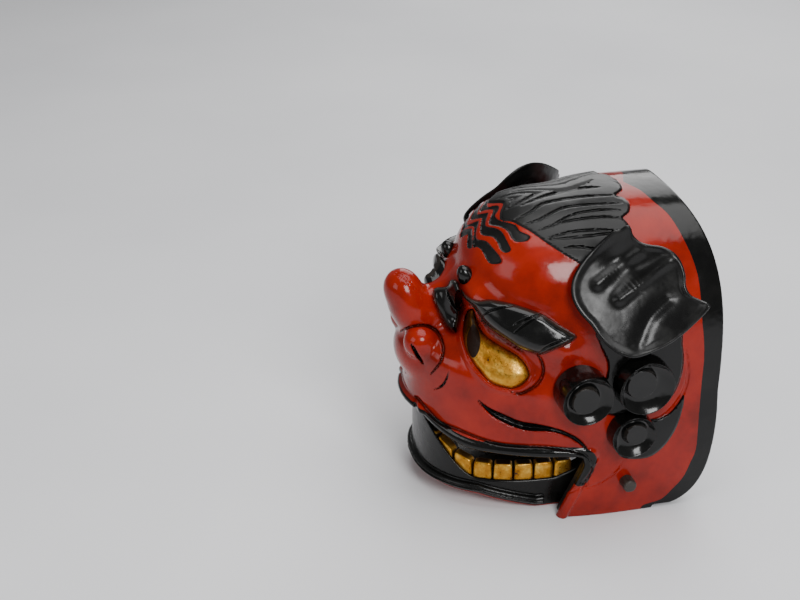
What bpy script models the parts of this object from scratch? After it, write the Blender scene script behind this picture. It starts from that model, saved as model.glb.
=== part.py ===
# Lion dance head of hollow carved wood with a lower jaw that swings on two pegs.
# Metres. +Z is up, the nose points towards -Y, the open back faces +Y.
import math

import bmesh
import bpy
import numpy as np
from mathutils import Matrix

# Head shell
HALF_WIDTH = 0.148
FRONT_REACH = 0.203
CROWN_RISE = 0.226
WIDEST_Y = 0.06
SPRING_Z = 0.155
SHELL_WALL = 0.016
CHEEK_WALL = 0.024
RIM_Y = 0.158
RIM_TOP_Z = 0.405
BOTTOM_TUCK = 0.075
MUZZLE_HALF_WIDTH = 0.142
MUZZLE_START_Y = 0.030
MUZZLE_REACH = 0.226
MUZZLE_RISE = 0.066
LIP_SIDE_Z = 0.097
LIP_FRONT_RISE = 0.026
LIP_RISE_Y = -0.125
LIP_RISE_RUN = 0.060
MOUTH_REAR_Y = -0.030
MOUTH_REAR_LEAN = 0.37
MOUTH_CORNER = 0.024
LIP_FLARE_RADII = (0.040, 0.0255, 0.030)
LIP_FLARE_CENTRE = (0.0, -0.183, 0.186)
NOSE_RADII = (0.033, 0.026, 0.046)
NOSE_CENTRE = (0.0, -0.190, 0.244)
NOSE_TILT = 0.36
NOSE_TIP_RADII = (0.0215, 0.0205, 0.0205)
NOSE_TIP_CENTRE = (0.0, -0.2005, 0.270)
WING_RADII = (0.019, 0.020, 0.020)
WING_CENTRE = (0.036, -0.186, 0.211)

# Lower jaw
PIVOT_Y = 0.047
PIVOT_Z = 0.050
JAW_HALF_WIDTH = 0.115
JAW_REACH = 0.152
JAW_START_Y = -0.03
JAW_WALL = 0.020
JAW_FLOOR = 0.014
JAW_SIDE_Z = 0.042
JAW_CHIN_RISE = 0.070
JAW_CHIN_RUN = 0.058
JAW_SLOPE = 0.25
JAW_SLOPE_Y = -0.055
JAW_SLOPE_RUN = 0.070
JAW_FLOOR_GAP = 0.0005
JAW_BEAD_END_Y = -0.046
ARM_RADIUS = 0.026
SLOT_CLEARANCE = 0.0025

# Teeth
TEETH_PER_SIDE = 9
TOOTH_HALF_DEPTH = 0.007
TOOTH_INSET = 0.0095
LOWER_TOOTH_TOP_Z = 0.064
LOWER_TOOTH_FRONT_RISE = 0.036
UPPER_TOOTH_INSET = 0.014
UPPER_TOOTH_DROP = 0.013
TOOTH_ROOT = 0.006
TWIST_ROOM = 0.0004

# Pegs
PEG_RADIUS = 0.0085
PEG_INNER_RUN = 0.004
PEG_OUTER_RUN = 0.018
PEG_RUNNING_GAP = 0.0006

# Eyes, brows, curls, ears
EYE_RADII = (0.044, 0.025, 0.015)
EYE_CENTRE = (0.088, -0.106, 0.216)
BALL_RADII = (0.0100, 0.0100, 0.0148)
BALL_TILT = 0.45
BALL_CENTRE = (0.0375, -0.1305, 0.2935)
CURL_FACE_X = 0.176
CURL_BASE_X = 0.137
CURL_A = (-0.017, 0.181, 0.031)
CURL_B = (0.055, 0.189, 0.034)
CURL_C = (0.044, 0.124, 0.027)
EAR_LENGTH = 0.147
# Ear outline: distance from the middle at every 30 degrees, as a share of the length.
EAR_OUTLINE = (0.425, 0.435, 0.53, 0.38, 0.32, 0.355, 0.565, 0.517, 0.483, 0.435, 0.367, 0.374)
EAR_MIDDLE = np.array([0.150, 0.035, 0.297])
EAR_DOWN = np.array([0.524, -0.034, -0.851])
EAR_BACK = np.array([0.2625, 0.957, 0.123])
EAR_ROOT = (-0.045, -0.005)
EAR_THICKNESS = 0.008
EAR_STEM_RADIUS = 0.010
EAR_STEM_DEPTH = 0.034
EAR_SWING = 1.05
EAR_SWUNG_SHIFT = (0.0, -0.010, -0.022)

SHELL_CELL = 0.0047
JAW_CELL = 0.0037
SEAT_GAP = 0.00035
FLAT_REACH = 0.0004
CENTRE_SHIFT_Y = 0.03205


def clear_scene():
    for obj in list(bpy.data.objects):
        bpy.data.objects.remove(obj, do_unlink=True)


def material(name, colour, roughness, metallic=0.0):
    made = bpy.data.materials.new(name)
    made.use_nodes = True
    shader = made.node_tree.nodes["Principled BSDF"]
    shader.inputs["Base Color"].default_value = (*colour, 1.0)
    shader.inputs["Roughness"].default_value = roughness
    shader.inputs["Metallic"].default_value = metallic
    made.diffuse_color = (*colour, 1.0)
    return made


# Distance fields, in metres, negative inside. Points are rows of x, y, z.


def ellipsoid(points, centre, radii, tilt=0.0):
    local = points - np.array(centre)
    sine, cosine = math.sin(tilt), math.cos(tilt)
    y = cosine * local[:, 1] + sine * local[:, 2]
    z = -sine * local[:, 1] + cosine * local[:, 2]
    local = np.stack([local[:, 0], y, z], 1)
    radii = np.array(radii)
    first = np.sqrt(((local / radii) ** 2).sum(1)) + 1e-9
    second = np.sqrt(((local / radii**2) ** 2).sum(1)) + 1e-9
    return first * (first - 1) / second


def rod(points, start, end, start_radius, end_radius):
    start, end = np.array(start), np.array(end)
    along = end - start
    share = np.clip(((points - start) @ along) / (along @ along), 0, 1)
    away = points - start - share[:, None] * along
    return np.sqrt((away**2).sum(1)) - (start_radius + (end_radius - start_radius) * share)


def blend(first, second, width):
    share = np.clip(0.5 + 0.5 * (second - first) / width, 0, 1)
    return second + (first - second) * share - width * share * (1 - share)


def keep(first, second, width):
    return -blend(-first, -second, width)


def mirrored(points):
    folded = points.copy()
    folded[:, 0] = np.abs(folded[:, 0])
    return folded


def hood(points, inset=0.0):
    x, y, z = points.T
    front = np.abs(np.minimum(y - WIDEST_Y, 0)) / (FRONT_REACH - inset)
    drop = 0.07 * np.clip(WIDEST_Y - y, 0, 0.3)
    rise = np.maximum(z + drop - SPRING_Z, 0) / (CROWN_RISE - inset)
    tuck = 1 - BOTTOM_TUCK * np.clip((0.12 - z) / 0.12, 0, 1.5) ** 2
    side = np.abs(x) / ((HALF_WIDTH - inset) * tuck)
    plan = (side**2.3 + front**2.3) ** (1 / 2.3)
    return ((plan**2.5 + rise**2.5) ** 0.4 - 1) * 0.15


def muzzle(points, inset=0.0):
    x, y, z = points.T
    front = np.abs(np.minimum(y - MUZZLE_START_Y, 0)) / (MUZZLE_REACH - inset)
    side = np.abs(x) / (MUZZLE_HALF_WIDTH - inset)
    top = z - 0.19 + 0.30 * np.clip(y + 0.19, 0, 0.25)
    rise = np.maximum(top, 0) / (MUZZLE_RISE - 0.5 * inset)
    plan = (side**2.1 + front**2.1) ** (1 / 2.1)
    return ((plan**2.4 + rise**2.4) ** (1 / 2.4) - 1) * 0.12


def lip_height(y):
    return LIP_SIDE_Z + LIP_FRONT_RISE * np.clip((LIP_RISE_Y - y) / LIP_RISE_RUN, 0, 1) ** 2.2


def mouth_void(points):
    y, z = points[:, 1], points[:, 2]
    return keep(z - lip_height(y), y - MOUTH_REAR_Y - MOUTH_REAR_LEAN * z, MOUTH_CORNER)


def outer_face(points):
    p = mirrored(points)
    face = hood(p)
    face = blend(face, ellipsoid(p, (0, -0.042, 0.282), (0.106, 0.091, 0.090)), 0.02)
    face = blend(face, muzzle(p), 0.028)
    ridge = np.minimum(
        rod(p, (0.022, -0.126, 0.276), (0.06, -0.120, 0.272), 0.012, 0.014),
        rod(p, (0.06, -0.120, 0.272), (0.10, -0.086, 0.250), 0.014, 0.013),
    )
    ridge = np.minimum(ridge, rod(p, (0.10, -0.086, 0.250), (0.128, -0.035, 0.230), 0.013, 0.008))
    face = blend(face, ridge, 0.020)
    face = blend(face, rod(p, (0, -0.13, 0.262), (0, -0.165, 0.240), 0.018, 0.026), 0.020)
    nose = ellipsoid(p, NOSE_CENTRE, NOSE_RADII, NOSE_TILT)
    nose = blend(nose, ellipsoid(p, NOSE_TIP_CENTRE, NOSE_TIP_RADII), 0.010)
    face = blend(face, ellipsoid(p, LIP_FLARE_CENTRE, LIP_FLARE_RADII), 0.012)
    face = blend(face, nose, 0.010)
    return blend(face, ellipsoid(p, WING_CENTRE, WING_RADII), 0.006)


def shell_field(points):
    p = mirrored(points)
    outside = outer_face(p)
    mouth = mouth_void(p)
    body = keep(outside, -mouth, 0.006)
    lip = np.hypot(outside + 0.003, mouth - 0.001) - 0.0065
    body = blend(body, np.maximum(lip, p[:, 1] - 0.03), 0.002)
    palate = p.copy()
    palate[:, 2] += 0.012
    hollow = blend(hood(p, SHELL_WALL), muzzle(palate, CHEEK_WALL), 0.02)
    slot = np.maximum(p[:, 0] - JAW_HALF_WIDTH - SLOT_CLEARANCE, p[:, 2] - 0.082)
    slot = np.maximum(slot, np.abs(p[:, 1] - 0.030) - 0.060)
    hollow = blend(hollow, slot, 0.004)
    block = np.maximum(p[:, 1] - 0.172, -0.011 - p[:, 2])
    return np.maximum(keep(body, -hollow, 0.004), block)


def jaw_plan(points, inset=0.0):
    x, y, z = points.T
    front = np.abs(np.minimum(y - JAW_START_Y, 0)) / (JAW_REACH - inset)
    side = np.abs(x) / (JAW_HALF_WIDTH - inset)
    return ((side**2.3 + front**2.3) ** (1 / 2.3) - 1) * 0.12


def jaw_top(y):
    front = JAW_REACH - JAW_START_Y - JAW_CHIN_RUN
    return JAW_SIDE_Z + JAW_CHIN_RISE * np.clip((-y - front) / JAW_CHIN_RUN, 0, 1) ** 1.75


def jaw_under(y):
    return JAW_SLOPE * np.clip(JAW_SLOPE_Y - y, 0, JAW_SLOPE_RUN) + JAW_FLOOR_GAP


def jaw_field(points):
    p = mirrored(points)
    y, z = p[:, 1], p[:, 2]
    wall = np.maximum(z - jaw_top(y), y - 0.015)
    arm = np.hypot(y - PIVOT_Y, z - PIVOT_Z) - ARM_RADIUS
    link = rod(
        np.stack([0 * y, y, z], 1), (0, -0.01, 0.026), (0, PIVOT_Y, PIVOT_Z), 0.022, 0.022
    )
    side = blend(wall, np.minimum(arm, link), 0.008)
    solid = keep(keep(jaw_plan(p), side, 0.004), jaw_under(y) - z, 0.006)
    rim = np.hypot(jaw_plan(p), z - jaw_under(y) - 0.012) - 0.0055
    solid = blend(solid, np.maximum(rim, y - JAW_BEAD_END_Y), 0.002)
    inside = np.maximum(jaw_plan(p, JAW_WALL), jaw_under(y) + JAW_FLOOR - z)
    return keep(solid, -inside, 0.004)


# A closed mesh of quads on the zero level of a field.


def level_mesh(field, low, high, cell):
    axes = [np.arange(a, b + cell, cell) for a, b in zip(low, high)]
    grid = np.stack(np.meshgrid(*axes, indexing="ij"), -1)
    values = field(grid.reshape(-1, 3)).reshape(grid.shape[:3])
    fill_pinches(values)
    inside = values < 0
    size = np.array(values.shape) - 1
    total = np.zeros((*size, 3))
    count = np.zeros(size)
    quads = []
    for axis in range(3):
        for first in (0, 1):
            for second in (0, 1):
                start = np.insert([first, second], axis, 0)
                stop = np.insert([first, second], axis, 1)
                a = tuple(slice(s, s + n) for s, n in zip(start, size))
                b = tuple(slice(s, s + n) for s, n in zip(stop, size))
                crossing = inside[a] != inside[b]
                gap = np.where(crossing, values[a] - values[b], 1)
                share = np.where(crossing, values[a] / gap, 0)
                point = grid[a].copy()
                point[..., axis] += share * cell
                total += point * crossing[..., None]
                count += crossing
    number = np.full(size, -1)
    active = count > 0
    number[active] = np.arange(active.sum())
    points = total[active] / count[active][:, None]
    for axis in range(3):
        a = tuple(slice(0, -1) if i == axis else slice(1, -1) for i in range(3))
        b = tuple(slice(1, None) if i == axis else slice(1, -1) for i in range(3))
        crossing = np.argwhere(inside[a] != inside[b])
        crossing += [0 if i == axis else 1 for i in range(3)]
        one, two = [i for i in range(3) if i != axis]
        corners = []
        for step in ((1, 1), (0, 1), (0, 0), (1, 0)):
            cell_at = crossing.copy()
            cell_at[:, one] -= step[0]
            cell_at[:, two] -= step[1]
            corners.append(number[tuple(cell_at.T)])
        quad = np.stack(corners, 1)
        outward = inside[tuple(crossing.T)]
        if axis == 1:
            outward = ~outward
        quads.append(np.where(outward[:, None], quad, quad[:, ::-1]))
    points = settle(field, points, cell)
    return points, np.concatenate(quads)


def fill_pinches(values):
    # Two sheets that meet at one grid edge are joined there.
    for _ in range(6):
        found = 0
        for axis in range(3):
            flat = np.moveaxis(values, axis, 0)
            a, b = flat[:, :-1, :-1] < 0, flat[:, 1:, :-1] < 0
            c, d = flat[:, 1:, 1:] < 0, flat[:, :-1, 1:] < 0
            crossed = (a == c) & (b == d) & (a != b)
            found += crossed.sum()
            flat[:, :-1, :-1][crossed & ~a] = -1e-5
            flat[:, 1:, :-1][crossed & ~b] = -1e-5
        if not found:
            return


def settle(field, points, cell):
    for _ in range(3):
        slope = np.stack(
            [field(points + e) - field(points - e) for e in np.eye(3) * 0.0004], 1
        ) / 0.0008
        move = field(points) / np.maximum((slope**2).sum(1), 0.1)
        move = np.clip(move, -0.4 * cell, 0.4 * cell)
        points = points - move[:, None] * slope
    return points


def add_object(name, points, faces, paint):
    mesh = bpy.data.meshes.new(name)
    mesh.from_pydata(np.asarray(points, float).tolist(), [], [list(map(int, f)) for f in faces])
    work = bmesh.new()
    work.from_mesh(mesh)
    bmesh.ops.recalc_face_normals(work, faces=work.faces)
    work.to_mesh(mesh)
    work.free()
    obj = bpy.data.objects.new(name, mesh)
    bpy.context.scene.collection.objects.link(obj)
    mesh.materials.append(paint)
    return obj


def thinned(obj, triangles, symmetric=True):
    obj.data.calc_loop_triangles()
    thin = obj.modifiers.new("thin", "DECIMATE")
    thin.ratio = min(1.0, triangles / len(obj.data.loop_triangles))
    thin.use_symmetry = symmetric
    thin.symmetry_axis = "X"
    freeze(obj)
    for vertex in obj.data.vertices:
        if vertex.co.z < FLAT_REACH:
            vertex.co.z = 0.0
    return obj


def freeze(obj):
    bpy.context.view_layer.update()
    graph = bpy.context.evaluated_depsgraph_get()
    mesh = bpy.data.meshes.new_from_object(obj.evaluated_get(graph))
    obj.modifiers.clear()
    obj.data = mesh


def grown_copy(obj, gap):
    work = bmesh.new()
    work.from_mesh(obj.data)
    work.normal_update()
    for vertex in work.verts:
        vertex.co += vertex.normal * gap * min(vertex.calc_shell_factor(), 2.5)
    mesh = bpy.data.meshes.new(obj.name + "_seat")
    work.to_mesh(mesh)
    work.free()
    cutter = bpy.data.objects.new(mesh.name, mesh)
    bpy.context.scene.collection.objects.link(cutter)
    return cutter


def hide_cutter(cutter):
    cutter.hide_render = True
    cutter.display_type = "WIRE"


def boolean(obj, cutter, operation="DIFFERENCE", solver="EXACT"):
    hide_cutter(cutter)
    cut = obj.modifiers.new(cutter.name, "BOOLEAN")
    cut.operation = operation
    cut.solver = solver
    cut.object = cutter


def lathe_x(centre_y, centre_z, profile, sides):
    # A round body about the X direction from pairs of x and radius.
    points = []
    faces = []
    for x, radius in profile:
        for k in range(sides):
            turn = 2 * math.pi * k / sides
            points.append((x, centre_y + radius * math.cos(turn), centre_z + radius * math.sin(turn)))
    for ring in range(len(profile) - 1):
        for k in range(sides):
            a = ring * sides + k
            b = ring * sides + (k + 1) % sides
            faces.append((a, b, b + sides, a + sides))
    faces.append(tuple(range(sides))[::-1])
    last = (len(profile) - 1) * sides
    faces.append(tuple(range(last, last + sides)))
    return np.array(points), faces


def loft(path, normals, half_widths, half_heights, sides):
    # A closed body swept along a path with an oval section.
    path = np.array(path, float)
    rows = len(path)
    tangents = np.gradient(path, axis=0)
    points = []
    for k in range(rows):
        tangent = tangents[k] / np.linalg.norm(tangents[k])
        normal = np.array(normals[k], float)
        normal -= normal @ tangent * tangent
        normal /= np.linalg.norm(normal)
        across = np.cross(tangent, normal)
        for s in range(sides):
            turn = 2 * math.pi * s / sides
            points.append(
                path[k]
                + across * half_widths[k] * math.cos(turn)
                + normal * half_heights[k] * math.sin(turn)
            )
    faces = [tuple(range(sides))[::-1]]
    for k in range(rows - 1):
        for s in range(sides):
            a = k * sides + s
            b = k * sides + (s + 1) % sides
            faces.append((a, b, b + sides, a + sides))
    faces.append(tuple(range((rows - 1) * sides, rows * sides)))
    return np.array(points), faces


def flipped(points):
    return points * np.array([-1.0, 1.0, 1.0])


def both_sides(name, points, faces, paint):
    left = add_object(name + "_left", points, faces, paint)
    right = add_object(name + "_right", flipped(points), faces, paint)
    return left, right


def arch_path(half_width, start_y, reach, power, back_y, count):
    # Points along a U in plan from the left rear round the front to the right rear.
    turns = np.linspace(0, math.pi / 2, 200)
    x = half_width * np.sin(turns) ** (2 / power)
    y = start_y - reach * np.cos(turns) ** (2 / power)
    if back_y > start_y:
        x = np.append(x, half_width)
        y = np.append(y, back_y)
    use = y <= back_y + 1e-9
    x, y = x[use], y[use]
    x = np.concatenate([-x[::-1], x[1:]])
    y = np.concatenate([y[::-1], y[1:]])
    length = np.append(0, np.cumsum(np.hypot(np.diff(x), np.diff(y))))
    return x, y, length


def tooth_stops(x, y, length):
    # The plan points where one tooth ends and the next starts, with the mitre there.
    stops = np.linspace(0, length[-1], 2 * TEETH_PER_SIDE + 1)
    plan = np.stack([np.interp(stops, length, x), np.interp(stops, length, y)], 1)
    chord = np.diff(plan, axis=0)
    chord /= np.linalg.norm(chord, axis=1)[:, None]
    out = np.stack([chord[:, 1], -chord[:, 0]], 1)
    mitre = np.concatenate([out[:1], out[:-1] + out[1:], out[-1:]])
    mitre /= np.linalg.norm(mitre, axis=1)[:, None]
    mitre[1:-1] /= (mitre[1:-1] * out[:-1]).sum(1)[:, None]
    return plan, out, mitre


def strip(rows):
    points = []
    for x, y, out_x, out_y, root_depth, tip_depth, foot, tip in rows:
        for away, z in ((root_depth, foot), (tip_depth, tip), (-tip_depth, tip), (-root_depth, foot)):
            points.append((x + out_x * away, y + out_y * away, z))
    faces = [(0, 1, 2, 3)]
    for k in range(len(rows) - 1):
        for s in range(4):
            a = 4 * k + s
            b = 4 * k + (s + 1) % 4
            faces.append((a, b, b + 4, a + 4))
    faces.append(tuple(range(4 * len(rows) - 4, 4 * len(rows)))[::-1])
    return np.array(points), faces


def tooth_row(x, y, length, base, tip, root):
    # Flat-faced teeth on one strip: narrow dips part one tooth from the next.
    plan, out, mitre = tooth_stops(x, y, length)
    rows = []
    for k in range(len(plan)):
        foot, top = base(plan[k, 1]), tip(plan[k, 1])
        dip = 0.55 * TOOTH_HALF_DEPTH
        rows.append((*plan[k], *mitre[k], TOOTH_HALF_DEPTH, dip, foot - root, top * 0.72 + foot * 0.28))
        if k == len(plan) - 1:
            break
        foot_ahead, top_ahead = base(plan[k + 1, 1]), tip(plan[k + 1, 1])
        for share in (0.06, 0.94):
            spot = plan[k] * (1 - share) + plan[k + 1] * share
            level = foot * (1 - share) + foot_ahead * share
            reach = top * (1 - share) + top_ahead * share
            depth = TOOTH_HALF_DEPTH
            rows.append((*spot, *out[k], depth, depth, level - root, reach))
    return strip(rows)


def tooth_seat(x, y, length, base, tip, root, gap):
    plan, out, mitre = tooth_stops(x, y, length)
    sign = 1 if root > 0 else -1
    rows = []
    for k in range(len(plan)):
        foot, top = base(plan[k, 1]), tip(plan[k, 1])
        depth = TOOTH_HALF_DEPTH + gap
        spot = plan[k].copy()
        if k in (0, len(plan) - 1):
            spot += np.array([0.0, gap])
        foot -= root + sign * (gap + TWIST_ROOM)
        rows.append((*spot, *mitre[k], depth, depth, foot, top + sign * 0.004))
    return strip(rows)


def lower_tip(y):
    front = JAW_REACH - JAW_START_Y - 0.047
    return LOWER_TOOTH_TOP_Z + LOWER_TOOTH_FRONT_RISE * np.clip((-y - front) / 0.040, 0, 1.2) ** 1.3


def upper_tip(y):
    # The teeth are short in front, where the jaw's board rises to the lip.
    short = np.clip((LIP_RISE_Y - y) / (0.8 * LIP_RISE_RUN), 0, 1)
    return lip_height(y) - UPPER_TOOTH_DROP * (1 - 0.75 * short)


def ear_rise(s, t):
    # Hollow middle, lifted edges and three soft folds that run down the leaf.
    out = (s**2 + t**2) / 0.07**2
    folds = 0.003 * np.sin(95 * (t - 0.35 * s)) * np.clip(1.2 - out, 0, 1)
    near_root = ((s - EAR_ROOT[0]) ** 2 + (t - EAR_ROOT[1]) ** 2) / 0.022**2
    return 0.010 * out - 0.008 + folds - 0.010 * np.exp(-near_root)


def ear_mesh():
    rings, spokes = 5, 20
    outline = np.array(EAR_OUTLINE) * EAR_LENGTH
    turns = np.arange(spokes) * 2 * math.pi / spokes
    place = turns / (2 * math.pi) * 12
    low = np.floor(place).astype(int)
    share = place - low
    share = share * share * (3 - 2 * share)
    reach = outline[low % 12] * (1 - share) + outline[(low + 1) % 12] * share
    normal = np.cross(EAR_DOWN, EAR_BACK)
    normal /= np.linalg.norm(normal)
    points = []
    faces = []
    for face_side in (1, -1):
        points.append((0.0, 0.0, face_side))
        for ring in range(1, rings + 1):
            for spoke in range(spokes):
                size = reach[spoke] * ring / rings
                points.append((size * math.cos(turns[spoke]), size * math.sin(turns[spoke]), face_side))
    flat = np.array(points)
    s, t, side = flat.T
    edge = np.clip(np.hypot(s, t) / 0.05, 0, 1.4)
    thickness = EAR_THICKNESS * (1.0 - 0.25 * edge)
    rise = ear_rise(s, t) + side * thickness / 2
    world = EAR_MIDDLE + s[:, None] * EAR_DOWN + t[:, None] * EAR_BACK + rise[:, None] * normal
    half = 1 + rings * spokes
    for start, turn in ((0, 1), (half, -1)):
        for k in range(spokes):
            n = (k + 1) % spokes
            faces.append((start, start + 1 + k, start + 1 + n)[::turn])
            for ring in range(rings - 1):
                a = start + 1 + ring * spokes
                faces.append((a + k, a + spokes + k, a + spokes + n, a + n)[::turn])
    rim = 1 + (rings - 1) * spokes
    for k in range(spokes):
        n = (k + 1) % spokes
        faces.append((rim + k, half + rim + k, half + rim + n, rim + n))
    return world, faces, normal


def stem_mesh(normal, depth):
    root = EAR_MIDDLE + EAR_ROOT[0] * EAR_DOWN + EAR_ROOT[1] * EAR_BACK
    root = root + normal * (ear_rise(*EAR_ROOT) - 0.001)
    across = EAR_BACK - EAR_BACK @ normal * normal
    across /= np.linalg.norm(across)
    other = np.cross(normal, across)
    points = []
    for end in (0, 1):
        for k in range(16):
            turn = 2 * math.pi * k / 16
            spot = root - normal * depth * end
            spot = spot + EAR_STEM_RADIUS * (math.cos(turn) * across + math.sin(turn) * other)
            points.append(spot)
    faces = [tuple(range(16))[::-1], tuple(range(16, 32))]
    for k in range(16):
        n = (k + 1) % 16
        faces.append((k, n, n + 16, k + 16))
    return np.array(points), faces


def swung(spots, normal, swing):
    root = EAR_MIDDLE + EAR_ROOT[0] * EAR_DOWN + EAR_ROOT[1] * EAR_BACK
    local = spots - root
    sine, cosine = math.sin(swing), math.cos(swing)
    turned = local * cosine + np.cross(normal, local) * sine
    return turned + (local @ normal)[:, None] * normal * (1 - cosine) + root


def ear_lift():
    # How much further out the swung ear sits so that both ears reach equally far.
    points, faces, normal = ear_mesh()
    turned = swung(points, normal, -EAR_SWING)
    return (points[:, 0].max() - turned[:, 0].max()) / normal[0]


def make_ear(name, paint, side, swing, stem_depth, lift=0.0, shift=(0.0, 0.0, 0.0)):
    points, faces, normal = ear_mesh()
    stem, stem_faces = stem_mesh(normal, stem_depth)
    flip = np.array([side, 1.0, 1.0])
    move = normal * lift + np.array(shift)
    leaf_points = (swung(points, normal, swing) + move) * flip
    stem_points = (swung(stem, normal, swing) + move) * flip
    leaf = add_object(name, leaf_points, faces, paint)
    peg = add_object(name + "_stem", stem_points, stem_faces, paint)
    boolean(leaf, peg, "UNION")
    freeze(leaf)
    bpy.data.objects.remove(peg, do_unlink=True)
    return leaf


def side_outline():
    # The rear rim and flat bottom seen from the side, running round the kept region.
    outline = [(-0.30, 0.0), (0.060, 0.0)]
    for k in range(1, 9):
        turn = math.pi / 2 * k / 8
        outline.append((0.060 + 0.098 * math.sin(turn) ** 0.56, 0.150 * (1 - math.cos(turn) ** 0.56)))
    for k in range(1, 11):
        turn = math.pi / 2 * k / 10
        outline.append((0.055 + 0.103 * math.cos(turn) ** 0.667, 0.205 + 0.200 * math.sin(turn) ** 0.667))
    outline += [(0.055, 0.43), (-0.30, 0.43)]
    return outline


def prism(name, outline, half_width, paint):
    count = len(outline)
    points = [(x, y, z) for x in (-half_width, half_width) for y, z in outline]
    faces = [tuple(range(count))[::-1], tuple(range(count, 2 * count))]
    for k in range(count):
        n = (k + 1) % count
        faces.append((k, n, n + count, k + count))
    return add_object(name, points, faces, paint)


def main():
    clear_scene()
    red = material("red_lacquer", (0.35, 0.02, 0.012), 0.25)
    black = material("black_lacquer", (0.012, 0.012, 0.013), 0.2)
    gold = material("gold_leaf", (0.55, 0.33, 0.08), 0.45, 0.8)
    wood = material("peg_wood", (0.03, 0.02, 0.015), 0.5)

    seated = []
    # Eyes: domed ovals set in the face under the brow.
    ball = bmesh.new()
    bmesh.ops.create_uvsphere(ball, u_segments=14, v_segments=8, radius=1.0)
    along = np.array([0.067, 0.060, -0.026])
    along /= np.linalg.norm(along)
    facing = np.array([0.68, -0.50, 0.50])
    facing -= facing @ along * along
    facing /= np.linalg.norm(facing)
    frame = np.array([along, np.cross(facing, along), facing])
    sphere = np.array([v.co[:] for v in ball.verts])
    sphere_faces = [tuple(v.index for v in f.verts) for f in ball.faces]
    ball.free()
    eye = (sphere * np.array(EYE_RADII)) @ frame + np.array(EYE_CENTRE)
    seated += both_sides("eye", eye, sphere_faces, gold)
    sine, cosine = math.sin(BALL_TILT), math.cos(BALL_TILT)
    lean = np.array([[1, 0, 0], [0, cosine, -sine], [0, sine, cosine]])
    ball = (sphere * np.array(BALL_RADII)) @ lean + np.array(BALL_CENTRE)
    seated += both_sides("brow_ball", ball, sphere_faces, black)

    # Brows: long leaves over the eyes.
    path = [
        (0.050, -0.137, 0.276),
        (0.062, -0.130, 0.280),
        (0.078, -0.115, 0.279),
        (0.095, -0.098, 0.271),
        (0.111, -0.076, 0.261),
        (0.124, -0.050, 0.252),
        (0.132, -0.030, 0.247),
        (0.136, -0.018, 0.244),
    ]
    facing = [(0.3 + 0.09 * k, -0.95 + 0.12 * k, 0.15) for k in range(8)]
    widths = [0.004, 0.012, 0.018, 0.021, 0.020, 0.015, 0.009, 0.003]
    heights = [0.004, 0.010, 0.013, 0.014, 0.013, 0.011, 0.008, 0.003]
    points, faces = loft(path, facing, widths, heights, 10)
    seated += both_sides("brow", points, faces, black)

    # Small leaves between the nose and the brows.
    path = [(0.026, -0.163, 0.228), (0.028, -0.155, 0.242), (0.030, -0.147, 0.258), (0.034, -0.139, 0.272)]
    facing = [(0.9, -0.4, 0.2)] * 4
    points, faces = loft(path, facing, [0.003, 0.009, 0.010, 0.004], [0.003, 0.007, 0.008, 0.004], 8)
    seated += both_sides("bridge_leaf", points, faces, black)

    # Curls of hair: three drums on each cheek.
    for letter, (y, z, radius) in zip("abc", (CURL_A, CURL_B, CURL_C)):
        profile = [
            (CURL_BASE_X, radius - 0.003),
            (CURL_FACE_X - 0.006, radius),
            (CURL_FACE_X - 0.001, radius - 0.003),
            (CURL_FACE_X - 0.003, radius * 0.62),
            (CURL_FACE_X, radius * 0.56),
        ]
        points, faces = lathe_x(y, z, profile, 20)
        seated += both_sides("curl_" + letter, points, faces, black)

    # Ears: one hangs, the other has swung forward on its stem.
    ear_left = make_ear("ear_left", black, 1, 0.0, EAR_STEM_DEPTH)
    lift = ear_lift()
    depth = EAR_STEM_DEPTH + lift + EAR_SWUNG_SHIFT[2] / 3
    ear_right = make_ear("ear_right", black, -1, -EAR_SWING, depth, lift, EAR_SWUNG_SHIFT)
    seated += [ear_left, ear_right]

    # Teeth.
    half_width = MUZZLE_HALF_WIDTH - UPPER_TOOTH_INSET
    reach = MUZZLE_REACH - UPPER_TOOTH_INSET
    x, y, length = arch_path(half_width, MUZZLE_START_Y, reach, 2.1, MOUTH_REAR_Y, 200)
    points, faces = tooth_row(x, y, length, lip_height, upper_tip, -TOOTH_ROOT)
    upper = add_object("upper_teeth", points, faces, gold)
    points, faces = tooth_seat(x, y, length, lip_height, upper_tip, -TOOTH_ROOT, SEAT_GAP)
    upper_seat = add_object("upper_teeth_seat", points, faces, gold)
    half_width = JAW_HALF_WIDTH - TOOTH_INSET
    x, y, length = arch_path(half_width, JAW_START_Y, JAW_REACH - TOOTH_INSET, 2.3, -0.008, 200)
    points, faces = tooth_row(x, y, length, jaw_top, lower_tip, TOOTH_ROOT)
    lower = add_object("lower_teeth", points, faces, gold)
    points, faces = tooth_seat(x, y, length, jaw_top, lower_tip, TOOTH_ROOT, 2 * SEAT_GAP)
    lower_seat = add_object("lower_teeth_seat", points, faces, gold)

    # Pegs that carry the jaw.
    inner = JAW_HALF_WIDTH - JAW_WALL - PEG_INNER_RUN
    outer = HALF_WIDTH + PEG_OUTER_RUN
    profile = [(inner, PEG_RADIUS), (outer - 0.0015, PEG_RADIUS), (outer, PEG_RADIUS - 0.0015)]
    points, faces = lathe_x(PIVOT_Y, PIVOT_Z, profile, 24)
    pegs = both_sides("jaw_peg", points, faces, wood)
    seated += pegs

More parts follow.
